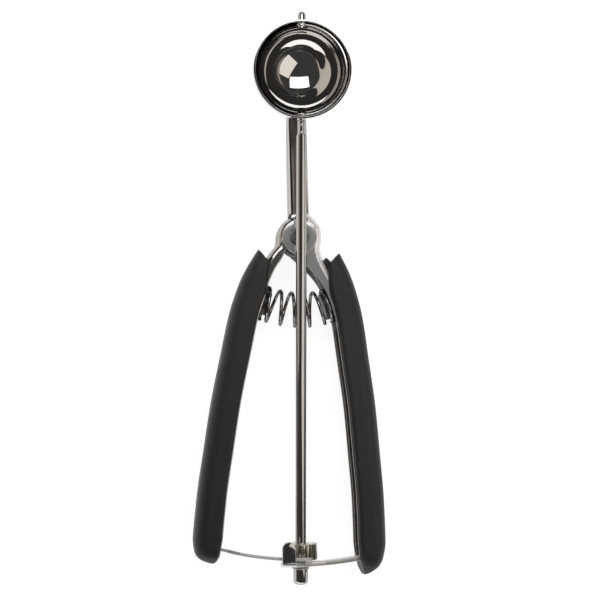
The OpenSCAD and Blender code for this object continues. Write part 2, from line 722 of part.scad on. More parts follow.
// Ear bent up in front of the rack, round at its top, which keeps the rack on the pinion
module ear() {
    top = -bar_ri + ear_h - ear_w / 2;
    translate([ear_right - ear_w / 2, 0, ear_low]) {
        translate([0, top, 0]) cylinder(d = ear_w, h = sheet);
        translate([-ear_w / 2, -bar_ri - bar_t / 2, 0]) cube([ear_w, top + bar_ri + bar_t / 2, sheet]);
    }
}

module stirrup_rivets() {
    color("gray") placed() translate([0, 0, z_mid])
        tab_rivets(right_web_head, bar_rivet_heights, 0, tab_face_right, bar_t);
}

// --- Rod and what turns with it ------------------------------------------------------------
journal_r = 1.6;
tang_t = 0.9;
rod_top = bowl_reach - bowl_ro - 0.4;
tang_len = 5.5;
slot_low = rod_top - tang_len - 0.3;
stake_r = 0.5;
stake_drops = [1.8, 4.6];
rod_low = cap_low + 1.8;

module rod() {
    color("lightgray") placed() rod_frame() difference() {
        translate([0, 0, rod_low]) cylinder(r = rod_r, h = rod_top - rod_low);
        // Slot for the scraper's flat stem
        translate([-rod_d, -tang_t / 2 - press_gap, slot_low])
            cube([2 * rod_d, tang_t + 2 * press_gap, tang_len + over]);
        stakes(press_gap);
    }
}

// Two cross pins through the rod's end and the stem
module stakes(extra) {
    for (d = stake_drops) translate([0, 0, rod_top - d]) rotate([90, 0, 0])
        cylinder(r = stake_r + extra, h = rod_d + 0.1 + 10 * extra, center = true);
}

module stem_stakes() {
    color("white") placed() rod_frame() stakes(0);
}

// Half the width of the blade at z along the rod from the bowl's centre
function blade_half(z) = (blade_end_w + (blade_w - blade_end_w) * (1 - pow(z / blade_ro, 2))) / 2;

eye_r = 2.3;
eye_t = 1;
pin_eye_r = 1.2;

module scraper_blade() {
    color("lightgray") placed() rod_frame() difference() {
        union() {
            translate([0, 0, bowl_reach]) {
                intersection() {
                    difference() {
                        sphere(r = blade_ro);
                        sphere(r = blade_ri);
                    }
                    rotate([90, 0, 90]) linear_extrude(blade_ro + over) polygon(concat(
                        [for (z = steps(-blade_ro, blade_ro, 16)) [-blade_half(z), z]],
                        [for (z = steps(blade_ro, -blade_ro, 16)) [blade_half(z), z]]
                    ));
                }
                for (s = [0, 1]) mirror([0, 0, s]) translate([0, 0, blade_ro - lay_gap - eye_t])
                    cylinder(r = eye_r, h = eye_t);
            }
            // Journal in the bowl's lower hole, then the flat stem in the rod's slot
            translate([0, 0, rod_top + lay_gap]) cylinder(r = journal_r, h = bowl_reach - blade_ri - rod_top);
            translate([-rod_r + 0.15, -tang_t / 2, rod_top - tang_len])
                cube([rod_d - 0.3, tang_t, tang_len + 2 * lay_gap]);
        }
        translate([0, 0, bowl_reach]) cylinder(r = pin_eye_r + press_gap, h = bowl_ro);
        stakes(press_gap);
    }
}

module top_pivot_pin() {
    foot = blade_ro - lay_gap;
    tip = bowl_ro + top_pin_out;
    color("lightgray") placed() rod_frame() translate([0, 0, bowl_reach]) {
        // Stub riveted in the blade's eye
        translate([0, 0, foot - eye_t - 0.5]) cylinder(r = pin_eye_r, h = eye_t + 0.6);
        translate([0, 0, foot - eye_t]) mirror([0, 0, 1]) dome(1.8, 0.5);
        translate([0, 0, foot]) cylinder(d = top_pin_d, h = tip - foot - top_pin_d / 2);
        translate([0, 0, tip - top_pin_d / 2]) sphere(d = top_pin_d);
    }
}

// Half angle that a tooth fills at the radius r, from the involute's own formula
function involute(a) = tan(a) * 180 / PI - a;
base_r = pitch_r * cos(pressure);
function tooth_half(r) =
    90 / pinion_teeth - backlash / (4 * pitch_r) * 180 / PI + involute(pressure)
    - (r > base_r ? involute(acos(base_r / r)) : 0);
flank = [for (k = [0:5]) root_r + (tip_r - root_r) * k / 5];

module pinion() {
    color("darkkhaki") placed() rod_frame() translate([0, 0, pinion_low]) difference() {
        linear_extrude(pinion_h) polygon([for (i = [0:pinion_teeth - 1])
            let (a = -90 + i * 360 / pinion_teeth) each concat(
                [for (r = flank) [r * cos(a - tooth_half(r)), r * sin(a - tooth_half(r))]],
                [for (k = [5:-1:0]) let (r = flank[k]) [r * cos(a + tooth_half(r)), r * sin(a + tooth_half(r))]]
            )]);
        cylinder(r = rod_r + press_gap, h = 3 * pinion_h, center = true);
    }
}

module thrust_washer() {
    color("gray") placed() rod_frame() translate([0, 0, washer_top - washer_t]) difference() {
        cylinder(r = washer_r, h = washer_t);
        cylinder(r = rod_r + run_gap, h = 3 * washer_t, center = true);
    }
}

module rod_cap() {
    edge = 1.5;
    color("silver") placed() rod_frame() difference() {
        translate([0, 0, cap_low]) rotate_extrude() difference() {
            union() {
                translate([0, edge]) square([cap_d / 2, cap_len - edge]);
                square([cap_d / 2 - edge, cap_len]);
                translate([cap_d / 2 - edge, edge]) circle(r = edge);
            }
            translate([-cap_d, -over]) square([cap_d, cap_len + 2 * over]);
        }
        translate([0, 0, rod_low - lay_gap]) cylinder(r = rod_r + press_gap, h = cap_len);
    }
}

neck_frame();
bowl();
right_grip();
right_spring_seat();
stirrup();
stirrup_rivets();
pivot_rivet();
pivot_washers();
return_spring();
left_lever();
left_grip();
left_spring_seat();
rack();
rack_rivets();
rod();
scraper_blade();
top_pivot_pin();
stem_stakes();
pinion();
thrust_washer();
rod_cap();
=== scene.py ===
"""Lever ice cream scoop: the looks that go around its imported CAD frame.

Lengths in this file are in millimetres in the working frame, whose origin is
on the lever pivot's axis: +X to the right, +Y to the bowl, +Z to the viewer.
`placed` turns them into metres in the row's frame. A grid holds m rings of n
points, a part is a pair (vertices, faces), and an outline is an array (n, 2).
"""
import math

import bmesh
import bpy
import numpy as np
from bpy.props import FloatProperty, FloatVectorProperty, PointerProperty
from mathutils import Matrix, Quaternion, Vector


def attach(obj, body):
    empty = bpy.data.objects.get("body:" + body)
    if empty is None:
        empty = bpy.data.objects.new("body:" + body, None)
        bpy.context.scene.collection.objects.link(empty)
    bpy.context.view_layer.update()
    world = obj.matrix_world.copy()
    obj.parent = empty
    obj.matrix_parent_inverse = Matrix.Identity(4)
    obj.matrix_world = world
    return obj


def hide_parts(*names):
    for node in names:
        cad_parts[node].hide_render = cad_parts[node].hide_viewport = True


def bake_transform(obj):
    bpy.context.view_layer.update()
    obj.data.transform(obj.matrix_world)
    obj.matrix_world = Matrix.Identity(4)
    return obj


bl_info = {
    "name": "Lever ice cream scoop",
    "version": (1, 0, 0),
    "blender": (4, 5, 0),
    "location": "View3D > Sidebar > Scoop",
    "description": "Dresses the packed scoop in polished steel and rubber",
    "category": "Object",
}

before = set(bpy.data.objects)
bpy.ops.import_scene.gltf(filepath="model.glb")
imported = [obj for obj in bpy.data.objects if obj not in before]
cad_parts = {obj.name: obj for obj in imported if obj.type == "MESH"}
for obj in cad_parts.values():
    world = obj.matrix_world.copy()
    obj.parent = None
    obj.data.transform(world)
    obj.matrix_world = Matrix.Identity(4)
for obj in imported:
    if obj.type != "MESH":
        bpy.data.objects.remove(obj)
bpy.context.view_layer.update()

# --- Sizes that the CAD source sets too, in millimetres -----------------------
CENTRE = np.array([-4.252, -23.319, 0.0])         # the row frame's origin
Z_MID = 9.0                                       # the levers' middle plane
RACK_R = 120.4                                    # the rack's radius about the pivot
ROD_R, ROD_FRONT, ROD_FOOT = 2.0, 11.8, 0.7       # rod, and its height at the pivot and the rack
TILT = math.atan((ROD_FRONT - ROD_FOOT) / RACK_R)
BOWL_RI, BOWL_RO, RIM_BAND = 17.6, 18.4, 4.0      # bowl's radii, and its straight band
BOWL_REACH = 61.7                                 # along the rod from the pivot to the bowl
BOWL_Y = BOWL_REACH * math.cos(TILT)
BOWL_Z = Z_MID + ROD_FRONT + BOWL_REACH * math.sin(TILT)
BLADE_RO, BLADE_RI = 17.3, 16.6
BLADE_END, BLADE_SWELL = 3.4, 2.6                 # width at the ends, and more half way round
PIN_OUT = 3.6                                     # of the top pin, over the bowl's outside
SHEET, BEND = 1.2, 2.5                            # the sheet's thickness and bends
HALF, NESTED = 7.0, 5.6                           # half the right and left channel's depth in z
HEAD_R, HEAD_CORE, CHEEK_R = 8.25, 4.0, 6.6       # the levers' round heads
PIVOT_HOLE, RIVET_R, DOME_R, DOME_H, WASHER_T = 2.05, 2.0, 2.6, 1.0, 0.4
REST_OPEN = math.radians(4.3)                     # the left lever's turn at rest
NECK_W, NECK_WALL, NECK_BEND = 7.6, 8.0, 2.2      # width, depth of the walls, bend
TONGUE_WRAP = math.radians(22)                    # of the tongue round the bowl
HANDLE, SPREAD = 126.5, 31.6                      # the levers' reach below and beside the pivot
GRIP_W, GRIP_DEPTH, GRIP_WALL, GRIP_TOP = 10.3, 18.0, 2.2, -5.9
TAIL_TIP, TAIL_RUN, FIN_FROM, FIN_RUN = 1.2, 8.5, -16, 10  # where a grip's ends get thinner
FLANGE_SHOW = 0.4                                 # how far the flanges stand out of the grips
RACK_T, TOOTH_MODULE, TEETH, PINION_H = 1.2, 0.615, 18, 6.0
BAR_T, BAR_GAP, EAR_GAP, EAR_FOOT, EAR_H = 1.8, 0.5, 0.25, 1.6, 7.6
WIRE, COIL_D, COILS, DEAD_COIL, SPRING_Y = 1.3, 13.7, 6, 0.55, -25.3

# --- This file's own --------------------------------------------------------------
AXIS = 1e-4                                       # radius that stands for an axis
FLIP = np.array([1, 1, -1])                       # mirror image in z
MERGED = 2e-7                                     # metres, under which points become one
HEAD_EASE = 0.08                                  # room from the head to the neck's walls


# --- Curves and arrays ---------------------------------------------------------
def smooth(v):
    """Smooth step: 3 v^2 - 2 v^3, with v kept from 0 to 1."""
    v = np.clip(v, 0, 1)
    return v * v * (3 - 2 * v)


def quarter(n):
    """n angles from 0 to 90 degrees, as a row."""
    return np.linspace(0, math.pi / 2, n)[None]


def full_turn(n):
    """n equal steps of a full turn: 2 pi k / n."""
    return np.arange(n) * 2 * math.pi / n


def arc(x, y, radius, start, stop, n):
    """n points of the circle about (x, y), from the angle start to stop in degrees."""
    a = np.radians(np.linspace(start, stop, n))
    return np.stack([x + radius * np.cos(a), y + radius * np.sin(a)], 1)


def traced(*runs):
    """One outline through single points and runs of points."""
    return np.concatenate([np.atleast_2d(run) for run in runs])


def curve(points, y):
    """x(y) of the monotone cubic through points [x, y] with y falling: Hermite pieces whose
    tangents are the harmonic mean of the neighbouring slopes, and 0 where the curve turns back."""
    p = np.array(points, float)
    xs, ys = p[:, 0], p[:, 1]
    s = np.diff(xs) / np.diff(ys)
    t = np.concatenate([s[:1], np.zeros(len(s) - 1), s[-1:]])
    a, b = s[:-1], s[1:]
    same = a * b > 0
    t[1:-1][same] = (2 * a * b / np.where(same, a + b, 1))[same]
    y = np.asarray(y, float)
    i = np.clip(np.searchsorted(-ys, -y, side="right") - 1, 0, len(ys) - 2)
    h = ys[i + 1] - ys[i]
    u = (y - ys[i]) / h
    return ((2 * u**3 - 3 * u**2 + 1) * xs[i] + (u**3 - 2 * u**2 + u) * h * t[i]
            + (3 * u**2 - 2 * u**3) * xs[i + 1] + (u**3 - u**2) * h * t[i + 1])


def stations(*stops):
    """Heights through the stops, each stretch (to, n) cut into n equal steps."""
    out = [np.array([stops[0]], float)]
    for to, n in stops[1:]:
        out.append(np.linspace(out[-1][-1], to, n + 1)[1:])
    return np.concatenate(out)


def mirrored(x, z):
    """Half sections (m, n) that end on z = 0 and their mirror images, as points (x, z)."""
    return np.stack([np.concatenate([x, x[:, -2::-1]], 1),
                     np.concatenate([z, -z[:, -2::-1]], 1)], -1)


def standing(sections, y):
    """Sections of points (x, z), one at each height y, as rings in space."""
    heights = np.broadcast_to(y[:, None], sections.shape[:2])
    return np.stack([sections[..., 0], heights, sections[..., 1]], -1)


# --- Places ----------------------------------------------------------------------
def placed(p):
    """Working-frame millimetres to row-frame metres: (p - centre) / 1000."""
    return (np.asarray(p, float) - CENTRE) * 0.001


def along_rod(p):
    """Rod frame to working frame. In the rod frame z runs along the rod to the bowl, x to the
    right and y to the front, with the origin over the pivot."""
    p = np.asarray(p, float)
    c, s = math.cos(TILT), math.sin(TILT)
    return np.stack([p[..., 0], p[..., 2] * c - p[..., 1] * s,
                     Z_MID + ROD_FRONT + p[..., 2] * s + p[..., 1] * c], -1)


def at_bowl(p):
    """The rod frame's axes with the origin in the bowl's centre, to the working frame."""
    return along_rod(p + np.array([0, 0, BOWL_REACH]))


def left(p):
    """The left side is the right side's mirror image in x, turned about the pivot by -REST_OPEN."""
    p = np.asarray(p, float)
    c, s = math.cos(REST_OPEN), math.sin(REST_OPEN)
    x, y = -p[..., 0], p[..., 1]
    return np.stack([x * c + y * s, -x * s + y * c, p[..., 2]], -1)


def lifted(p):
    """From the levers' own middle plane to the working frame's z."""
    return p + np.array([0, 0, Z_MID])


def mapped(part, how):
    """A part with its vertices moved by the function how."""
    return how(part[0]), part[1]


def both_sides(part):
    """A part in front of the levers' middle plane and its mirror image behind it."""
    return [mapped(part, lifted), mapped(part, lambda p: lifted(p * FLIP))]


# --- Parts ------------------------------------------------------------------------
def tube(grid, loop=False):
    """Faces between a grid's rings: quad (i, j), (i, j+1), (i+1, j+1), (i+1, j). With loop the
    last ring joins the first, else each end gets one cap."""
    m, n = grid.shape[:2]
    i, j = np.meshgrid(np.arange(m if loop else m - 1), np.arange(n), indexing="ij")
    k, l = (i + 1) % m, (j + 1) % n
    faces = np.stack([i * n + j, i * n + l, k * n + l, k * n + j], -1).reshape(-1, 4).tolist()
    if not loop:
        faces += [list(range(n - 1, -1, -1)), list(range((m - 1) * n, m * n))]
    return grid.reshape(-1, 3), faces


def turned(profile, steps=96):
    """Surface of revolution about z of the profile (r, z), which is a ring or starts and ends on
    the axis: (r cos a, r sin a, z) at equal angles a."""
    a, r, z = full_turn(steps), np.maximum(profile[:, 0], AXIS), profile[:, 1]
    return tube(np.stack([np.outer(np.cos(a), r), np.outer(np.sin(a), r),
                          np.broadcast_to(z, (steps, len(z)))], -1), loop=True)


def ring_of(inner, outer, low, high, edge, n=6):
    """Profile (r, z) of a ring, or of a disc where inner is 0, with round edges."""
    low_z, high_z = low + edge, high - edge
    outside = [arc(outer - edge, low_z, edge, -90, 0, n), arc(outer - edge, high_z, edge, 0, 90, n)]
    if inner <= 0:
        return traced((0, low), *outside, (0, high))
    return traced(*outside, arc(inner + edge, high_z, edge, 90, 180, n),
                  arc(inner + edge, low_z, edge, 180, 270, n))


def stacked(outlines, heights):
    """A closed shell whose rings are flat outlines, one at each height z."""
    return tube(np.stack([np.column_stack([p, np.full(len(p), z)])
                          for p, z in zip(outlines, heights)]))


def slab(outline, low, high, edge):
    """A plate of the outline from z low to high, its edges rounded by pulling the outline in
    along its normals by edge * (1 - sin t) as z goes from the face by edge * (1 - cos t)."""
    p = np.asarray(outline, float)
    d = np.roll(p, -1, 0) - np.roll(p, 1, 0)
    normal = np.stack([d[:, 1], -d[:, 0]], 1) / np.linalg.norm(d, axis=1)[:, None]
    area = np.sum(p[:, 0] * np.roll(p[:, 1], -1) - p[:, 1] * np.roll(p[:, 0], -1))
    normal *= 1 if area > 0 else -1
    t = quarter(4)[0]
    pulls = np.concatenate([edge * (1 - np.sin(t)), edge * (1 - np.sin(t[::-1]))])
    zs = np.concatenate([low + edge * (1 - np.cos(t)), high - edge * (1 - np.cos(t[::-1]))])
    return stacked([p - normal * q for q in pulls], zs)


# --- Objects ----------------------------------------------------------------------
def closed_mesh(name, parts, merge=False):
    """One mesh of several parts, in row-frame metres, whose faces point outwards."""
    verts, faces, base = [], [], 0
    for v, f in parts:
        verts.append(v)
        faces += [[i + base for i in face] for face in f]
        base += len(v)
    mesh = bpy.data.meshes.new(name)
    mesh.from_pydata(placed(np.concatenate(verts)), [], faces)
    work = bmesh.new()
    work.from_mesh(mesh)
    if merge:
        bmesh.ops.remove_doubles(work, verts=work.verts, dist=MERGED)
    bmesh.ops.recalc_face_normals(work, faces=work.faces)
    work.to_mesh(mesh)
    work.free()
    return mesh


def finished(mesh, material, angle):
    """A mesh's object, smooth but for edges sharper than angle, in degrees."""
    mesh.shade_smooth()
    mesh.set_sharp_from_angle(angle=math.radians(angle))
    mesh.materials.append(material)
    obj = bpy.data.objects.new(mesh.name, mesh)
    bpy.context.scene.collection.objects.link(obj)
    return obj


def piece(name, parts, body, material, cad_node, angle=35):
    """A finished piece that rides on a body and stands for a CAD node."""
    obj = finished(closed_mesh(name, parts, merge=True), material, angle)
    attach(obj, body)
    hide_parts(cad_node)
    return obj


def second_finish(obj, material, where):
    """Gives another finish to the faces for which where(at, facing) is true. at holds the x, y
    and z of their centres, in working millimetres, and facing those of their normals."""
    faces = obj.data.polygons
    at, facing = np.empty(3 * len(faces)), np.empty(3 * len(faces))
    faces.foreach_get("center", at)
    faces.foreach_get("normal", facing)
    index = np.empty(len(faces), np.int32)
    faces.foreach_get("material_index", index)
    obj.data.materials.append(material)
    chosen = where((at.reshape(-1, 3) * 1000 + CENTRE).T, facing.reshape(-1, 3).T)
    index[chosen] = len(obj.data.materials) - 1
    faces.foreach_set("material_index", index)


def carve(obj, part, angle=32):
    """Cuts a closed part out of a piece."""
    tool = bpy.data.objects.new("cutter", closed_mesh("cutter", [part]))
    bpy.context.scene.collection.objects.link(tool)
    cut = obj.modifiers.new("cut", "BOOLEAN")
    cut.operation, cut.solver, cut.object = "DIFFERENCE", "EXACT", tool
    bpy.context.view_layer.update()
    depsgraph = bpy.context.evaluated_depsgraph_get()
    done = bpy.data.meshes.new_from_object(obj.evaluated_get(depsgraph))
    obj.modifiers.clear()
    obj.data = done
    bpy.data.objects.remove(tool)
    done.set_sharp_from_angle(angle=math.radians(angle))


def dress(cad_node, material, bevel):
    """A CAD node keeps its shape and takes a finish, with its edges broken by a bevel."""
    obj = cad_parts[cad_node]
    obj.data.materials.clear()
    obj.data.materials.append(material)
    weld = obj.modifiers.new("weld", "WELD")
    weld.merge_threshold = 1e-6
    soft = obj.modifiers.new("edge", "BEVEL")
    soft.width, soft.segments, soft.limit_method = bevel * 0.001, 3, "ANGLE"
    soft.angle_limit = math.radians(40)
    soft.harden_normals = True


# --- Outlines of the levers and grips, as [x, y] --------------------------------
FULL_Y, END_Y = -26.0, -0.906 * HANDLE            # where the grips' sides are parallel
WEB_Y, FLANGE_Y, LEVER_END = -47.0, -30.4, 5 - HANDLE
GRIP_OUTER = [
    [15.2, GRIP_TOP], [18.4, -12.1], [0.66 * SPREAD, -18.2], [0.757 * SPREAD, -30.4],
    [0.824 * SPREAD, -45.7], [0.899 * SPREAD, -63.8], [0.947 * SPREAD, -0.647 * HANDLE],
    [0.988 * SPREAD, -0.788 * HANDLE], [SPREAD, END_Y], [0.968 * SPREAD, 6 - HANDLE],
    [0.918 * SPREAD, 3 - HANDLE], [0.8 * SPREAD, 0.4 - HANDLE], [0.763 * SPREAD, -HANDLE],
]
GRIP_LIP = [[9.65, GRIP_TOP], [9.9, -8.5], [10.6, -12], [11.1, -20.5],
            [float(curve(GRIP_OUTER, FULL_Y)) - GRIP_W, FULL_Y]]
GRIP_TAIL = [[float(curve(GRIP_OUTER, END_Y)) - GRIP_W, END_Y],
             [0.706 * SPREAD, 3.7 - HANDLE], [0.748 * SPREAD, -HANDLE]]
NOTCH = [[9.2, -4], [9.2, -7.2], [9.65, -7.7], [11.7, -9.85], [15.2, GRIP_TOP], [15.2, -4]]


def grip_out(y):
    """Outer side of a grip."""
    return curve(GRIP_OUTER, y)


def grip_in(y):
    """Inner side of a grip: a lip at the top, then parallel to the outer side, then the tail."""
    y = np.asarray(y, float)
    return np.where(y > FULL_Y, curve(GRIP_LIP, np.maximum(y, FULL_Y)),
                    np.where(y > END_Y, grip_out(y) - GRIP_W,
                             curve(GRIP_TAIL, np.minimum(y, END_Y))))


WEB_JOIN = float(grip_out(WEB_Y)) - GRIP_WALL
FLANGE_JOIN = float(grip_in(FLANGE_Y)) - FLANGE_SHOW
RIGHT_WEB = [[NECK_W / 2, 9], [6.4, 6.2], [8.07, 3.7], [8.45, -0.1], [7.9, -4.3], [8.45, -7.3],
             [9.6, -9.95], [13.4, -17], [16.8, -23], [19.6, -30.4], [21.9, -38], [WEB_JOIN, WEB_Y]]
LEFT_WEB = [[math.sqrt(HEAD_R**2 - 1), -1], [8.3, -3], [10.2, -5.9], [12, -8.9], [13.9, -13],
            [15.8, -17.5], [18.2, -24], [20.2, -30.4], [22.1, -38], [WEB_JOIN, WEB_Y]]
RIGHT_FLANGE = [[-1.1, 9], [-2.6, 5.5], [-4.9, 2.2], [-7, -1.5], [-4.6, -4.2], [-1.5, -7.1],
                [2.9, -11.1], [8.45, -17.9], [11.3, -24.3], [FLANGE_JOIN, FLANGE_Y]]
LEFT_FLANGE = [[2, -1], [3.2, -3.2], [4.8, -5.2], [5.9, -8.2], [8.45, -12.9], [10.6, -19.2],
               [11.6, -24.3], [FLANGE_JOIN, FLANGE_Y]]


def web_out(head, y):
    """Outside of a lever's web: its own curve over the grip, then the grip's outer wall."""
    y = np.asarray(y, float)
    return np.where(y > WEB_Y, curve(head, np.maximum(y, WEB_Y)), grip_out(y) - GRIP_WALL)


def flange_in(head, y):
    """Free edge of a lever's flanges: its own curve, then a strip in front of the grip."""
    y = np.asarray(y, float)
    return np.where(y > FLANGE_Y, curve(head, np.maximum(y, FLANGE_Y)), grip_in(y) - FLANGE_SHOW)


def slant(head, y):
    """Share by which a slanting web is thicker along x: sqrt(1 + slope squared), at most 1.5."""
    slope = (web_out(head, y + 0.05) - web_out(head, y - 0.05)) * 10
    return np.minimum(1.5, np.sqrt(1 + slope ** 2))


# --- Levers ------------------------------------------------------------------------
def channel_section(o, i, f, h, edge):
    """Sections of a sheet channel: the mid surface runs in along the front flange, round the
    bend, down the web and out along the back flange, and each side is offset by half the sheet;
    the flanges' free edges are rounded by edge. o, i and f hold one value per station."""
    o, i, f = (np.asarray(v, float)[:, None] for v in (o, i, f))
    bend = np.minimum(BEND, (o - i) / f * 0.95)
    c = o - bend * f
    q = quarter(13)

    def side(d):
        r = np.maximum(bend - SHEET / 2 + d, 0.05)
        flange_x = (i + edge) + (c - i - edge) * np.linspace(0, 1, 7)[None, :-1]
        flange_z = np.broadcast_to(h - SHEET / 2 + d, flange_x.shape)
        web_x = np.broadcast_to(c + r * f, (len(o), 5))
        web_z = (h - bend) * np.linspace(1, 0, 6)[None, 1:]
        return mirrored(np.concatenate([flange_x, c + r * np.sin(q) * f, web_x], 1),
                        np.concatenate([flange_z, (h - bend) + r * np.cos(q), web_z], 1))

    t = quarter(4)
    x = i + edge - edge * np.cos(t)
    high = np.broadcast_to(h - edge + edge * np.sin(t), x.shape)
    low = np.broadcast_to(h - SHEET + edge - edge * np.sin(t), x.shape)
    lip = np.concatenate([np.stack([x, low], -1)[:, ::-1], np.stack([x, high], -1)], 1)
    back_lip = (lip * np.array([1, -1]))[:, ::-1]
    return np.concatenate([side(SHEET / 2), back_lip, side(-SHEET / 2)[:, ::-1], lip], 1)


def lever_grid(web, flange, h, y, edge, head=None):
    """Channel rings of a lever at the heights y, which rise; head adds rings at angles round the
    pivot: the point (x, z) of a ring goes to (x cos a, x sin a, z)."""
    sections = channel_section(web_out(web, y), flange_in(flange, y), slant(web, y), h, edge)
    grid = standing(sections, y)
    if head is not None:
        radius = HEAD_R - HEAD_EASE * np.maximum(np.sin(head), 0)
        s = channel_section(radius, np.full(len(head), HEAD_CORE), np.ones(len(head)), h, edge)
        c, t = np.cos(head)[:, None], np.sin(head)[:, None]
        grid = np.concatenate([grid, np.stack([s[..., 0] * c, s[..., 0] * t, s[..., 1]], -1)])
    return lifted(grid)


def cheeks(radius, half):
    """The flat cheeks round the pivot's hole, a hair proud of a lever's front and back flange."""
    profile = ring_of(PIVOT_HOLE, radius, half - SHEET - 0.01, half + 0.012, 0.22)
    return both_sides(turned(profile, 128))


# --- Neck ----------------------------------------------------------------------------
NECK_FROM = np.array([9.0, Z_MID + HALF])         # y and z where the neck leaves the lever
WRAP_R = BOWL_RO + 0.05
TO_BOWL = np.array([BOWL_Y, BOWL_Z]) - NECK_FROM
NECK_ANGLE = math.atan2(TO_BOWL[1], TO_BOWL[0]) - math.asin(WRAP_R / np.linalg.norm(TO_BOWL))
NECK_RUN = math.sqrt(TO_BOWL @ TO_BOWL - WRAP_R**2)
WALL_RUN, TONGUE = 0.9 * NECK_RUN, WRAP_R * TONGUE_WRAP
GROOVE, GROOVE_OUT, GROOVE_IN = 0.9, 3.05, 2.4    # its depth, and |x| where it starts and is full


def neck_grid(s):
    """Rings of the neck at distances s along it: a U section of depth d, which narrows to a flat
    tongue; on the bowl's back the centre line turns with radius WRAP_R about the bowl's centre,
    and the section is bent down by R - sqrt(R^2 - x^2) to follow the sphere. The front is pressed
    in by GROOVE * smooth((GROOVE_OUT - |x|) / (GROOVE_OUT - GROOVE_IN)), which fades before the
    walls end."""
    k = np.clip((s - NECK_RUN - TONGUE + NECK_W / 2) / (NECK_W / 2), 0, 1)
    w = (NECK_W / 2 * np.sqrt(np.maximum(0.01, 1 - k * k)))[:, None]
    fall = 1 - np.clip(s / WALL_RUN, 0, 1) ** 3
    d = (SHEET + np.where(s < WALL_RUN, (NECK_WALL - SHEET) * fall, 0))[:, None]
    r = np.minimum(np.minimum(NECK_BEND, d - 0.05), 0.6 * w)
    ri = np.maximum(r - SHEET, 0.03)
    q = quarter(11)
    walls = np.linspace(0, 1, 6)[None, :-1]
    top = np.linspace(-1, 1, 11)[None, 1:-1]
    edge = np.minimum(0.3, 0.3 * d)
    cx, cz = w - r, -r

    def side(rad):
        x_wall = np.broadcast_to(cx + rad, (len(s), 5))
        z_wall = (-d + edge) + (cz + d - edge) * walls
        xr = np.concatenate([x_wall, cx + rad * np.cos(q)], 1)
        zr = np.concatenate([z_wall, cz + rad * np.sin(q)], 1)
        xt, zt = cx * top, np.broadcast_to(cz + rad, (len(s), 9))
        return np.concatenate([-xr, xt, xr[:, ::-1]], 1), np.concatenate([zr, zt, zr[:, ::-1]], 1)

    (ox, oz), (ix, iz) = side(r), side(ri)
    fade = GROOVE * (1 - smooth(4 * s / WALL_RUN - 3))[:, None]
    for px, pz in ((ox, oz), (ix, iz)):
        pz[:, 5:-5] -= fade * smooth((GROOVE_OUT - np.abs(px[:, 5:-5])) / (GROOVE_OUT - GROOVE_IN))
    t = quarter(4)[:, 1:]
    bow = edge * (1 - np.cos(t))
    foot_x = np.concatenate([cx + r - bow, (cx + ri + bow)[:, ::-1]], 1)
    foot_x = np.maximum(foot_x, cx + ri)
    foot_z = -d + edge * (1 - np.sin(t))
    foot_z = np.concatenate([foot_z, foot_z[:, ::-1]], 1)
    x = np.concatenate([ox, foot_x, ix[:, ::-1], -foot_x[:, ::-1]], 1)
    u = np.concatenate([oz, foot_z, iz[:, ::-1], foot_z[:, ::-1]], 1)
    share = np.clip((s - WALL_RUN) / (NECK_RUN - WALL_RUN), 0, 1)[:, None]
    v = u - (WRAP_R - np.sqrt(WRAP_R**2 - x * x)) * share
    on, run = np.maximum(s - NECK_RUN, 0), np.minimum(s, NECK_RUN)
    a = NECK_ANGLE + on / WRAP_R
    line_y = NECK_FROM[0] + run * math.cos(NECK_ANGLE)
    line_z = NECK_FROM[1] + run * math.sin(NECK_ANGLE)
    y0 = np.where(on > 0, BOWL_Y + WRAP_R * np.sin(a), line_y)[:, None]
    z0 = np.where(on > 0, BOWL_Z - WRAP_R * np.cos(a), line_z)[:, None]
    return np.stack([x, y0 - v * np.sin(a)[:, None], z0 + v * np.cos(a)[:, None]], -1)


# --- Grips ---------------------------------------------------------------------------
def grip_grid(web, h, y):
    """Rings of a grip at the heights y: the outer side is a rectangle from grip_in to grip_out
    with round corners, and the inner side is the space of the lever, open inwards, which closes
    where the lever has left the rubber. The depth along z is GRIP_DEPTH
    - 7 (1 - sqrt(1 - tail^2)) - 4 tail^3 - 2 fin^2, where tail and fin rise to 1 at the ends."""
    m = len(y)
    o, i = grip_out(y)[:, None], grip_in(y)[:, None]
    tail = np.maximum(0, (TAIL_RUN - HANDLE - y) / TAIL_RUN)
    fin = np.maximum(0, (y - FIN_FROM) / FIN_RUN)
    deep = (GRIP_DEPTH - 7) + 7 * np.sqrt(np.maximum(0, 1 - tail * tail)) - 2 * fin * fin
    hh = ((deep - 4 * tail**3) / 2)[:, None]
    w = o - i
    a, c = np.minimum(5.0, 0.55 * w), np.minimum(1.6, 0.2 * w)
    q = quarter(15)
    flat = np.linspace(0, 1, 8)[None, 1:-1]
    outer = mirrored(
        np.concatenate([i + c - c * np.cos(q), (i + c) + (o - a - i - c) * flat,
                        o - a + a * np.sin(q), np.broadcast_to(o, (m, 5))], 1),
        np.concatenate([hh - c + c * np.sin(q), np.broadcast_to(hh, (m, 6)),
                        hh - a + a * np.cos(q), (hh - a) * np.linspace(1, 0, 6)[None, 1:]], 1))
    f = slant(web, y)[:, None]
    wo = np.where(y < LEVER_END, -1e3, web_out(web, y))[:, None]
    cavity = np.maximum(wo + 0.02, i + 0.01)
    b = np.minimum(BEND, (cavity - i) / f)
    cc = cavity - b * f
    hc = np.minimum(h, hh - c)
    inner = mirrored(
        np.concatenate([i + (cc - i) * np.linspace(0, 1, 5)[None, :-1], cc + b * np.sin(q) * f,
                        np.broadcast_to(cavity, (m, 4))], 1),
        np.concatenate([np.broadcast_to(hc, (m, 4)), (hc - b) + b * np.cos(q),
                        (hc - b) * np.linspace(1, 0, 5)[None, 1:]], 1))
    return lifted(standing(np.concatenate([outer, inner[:, ::-1]], 1), y))


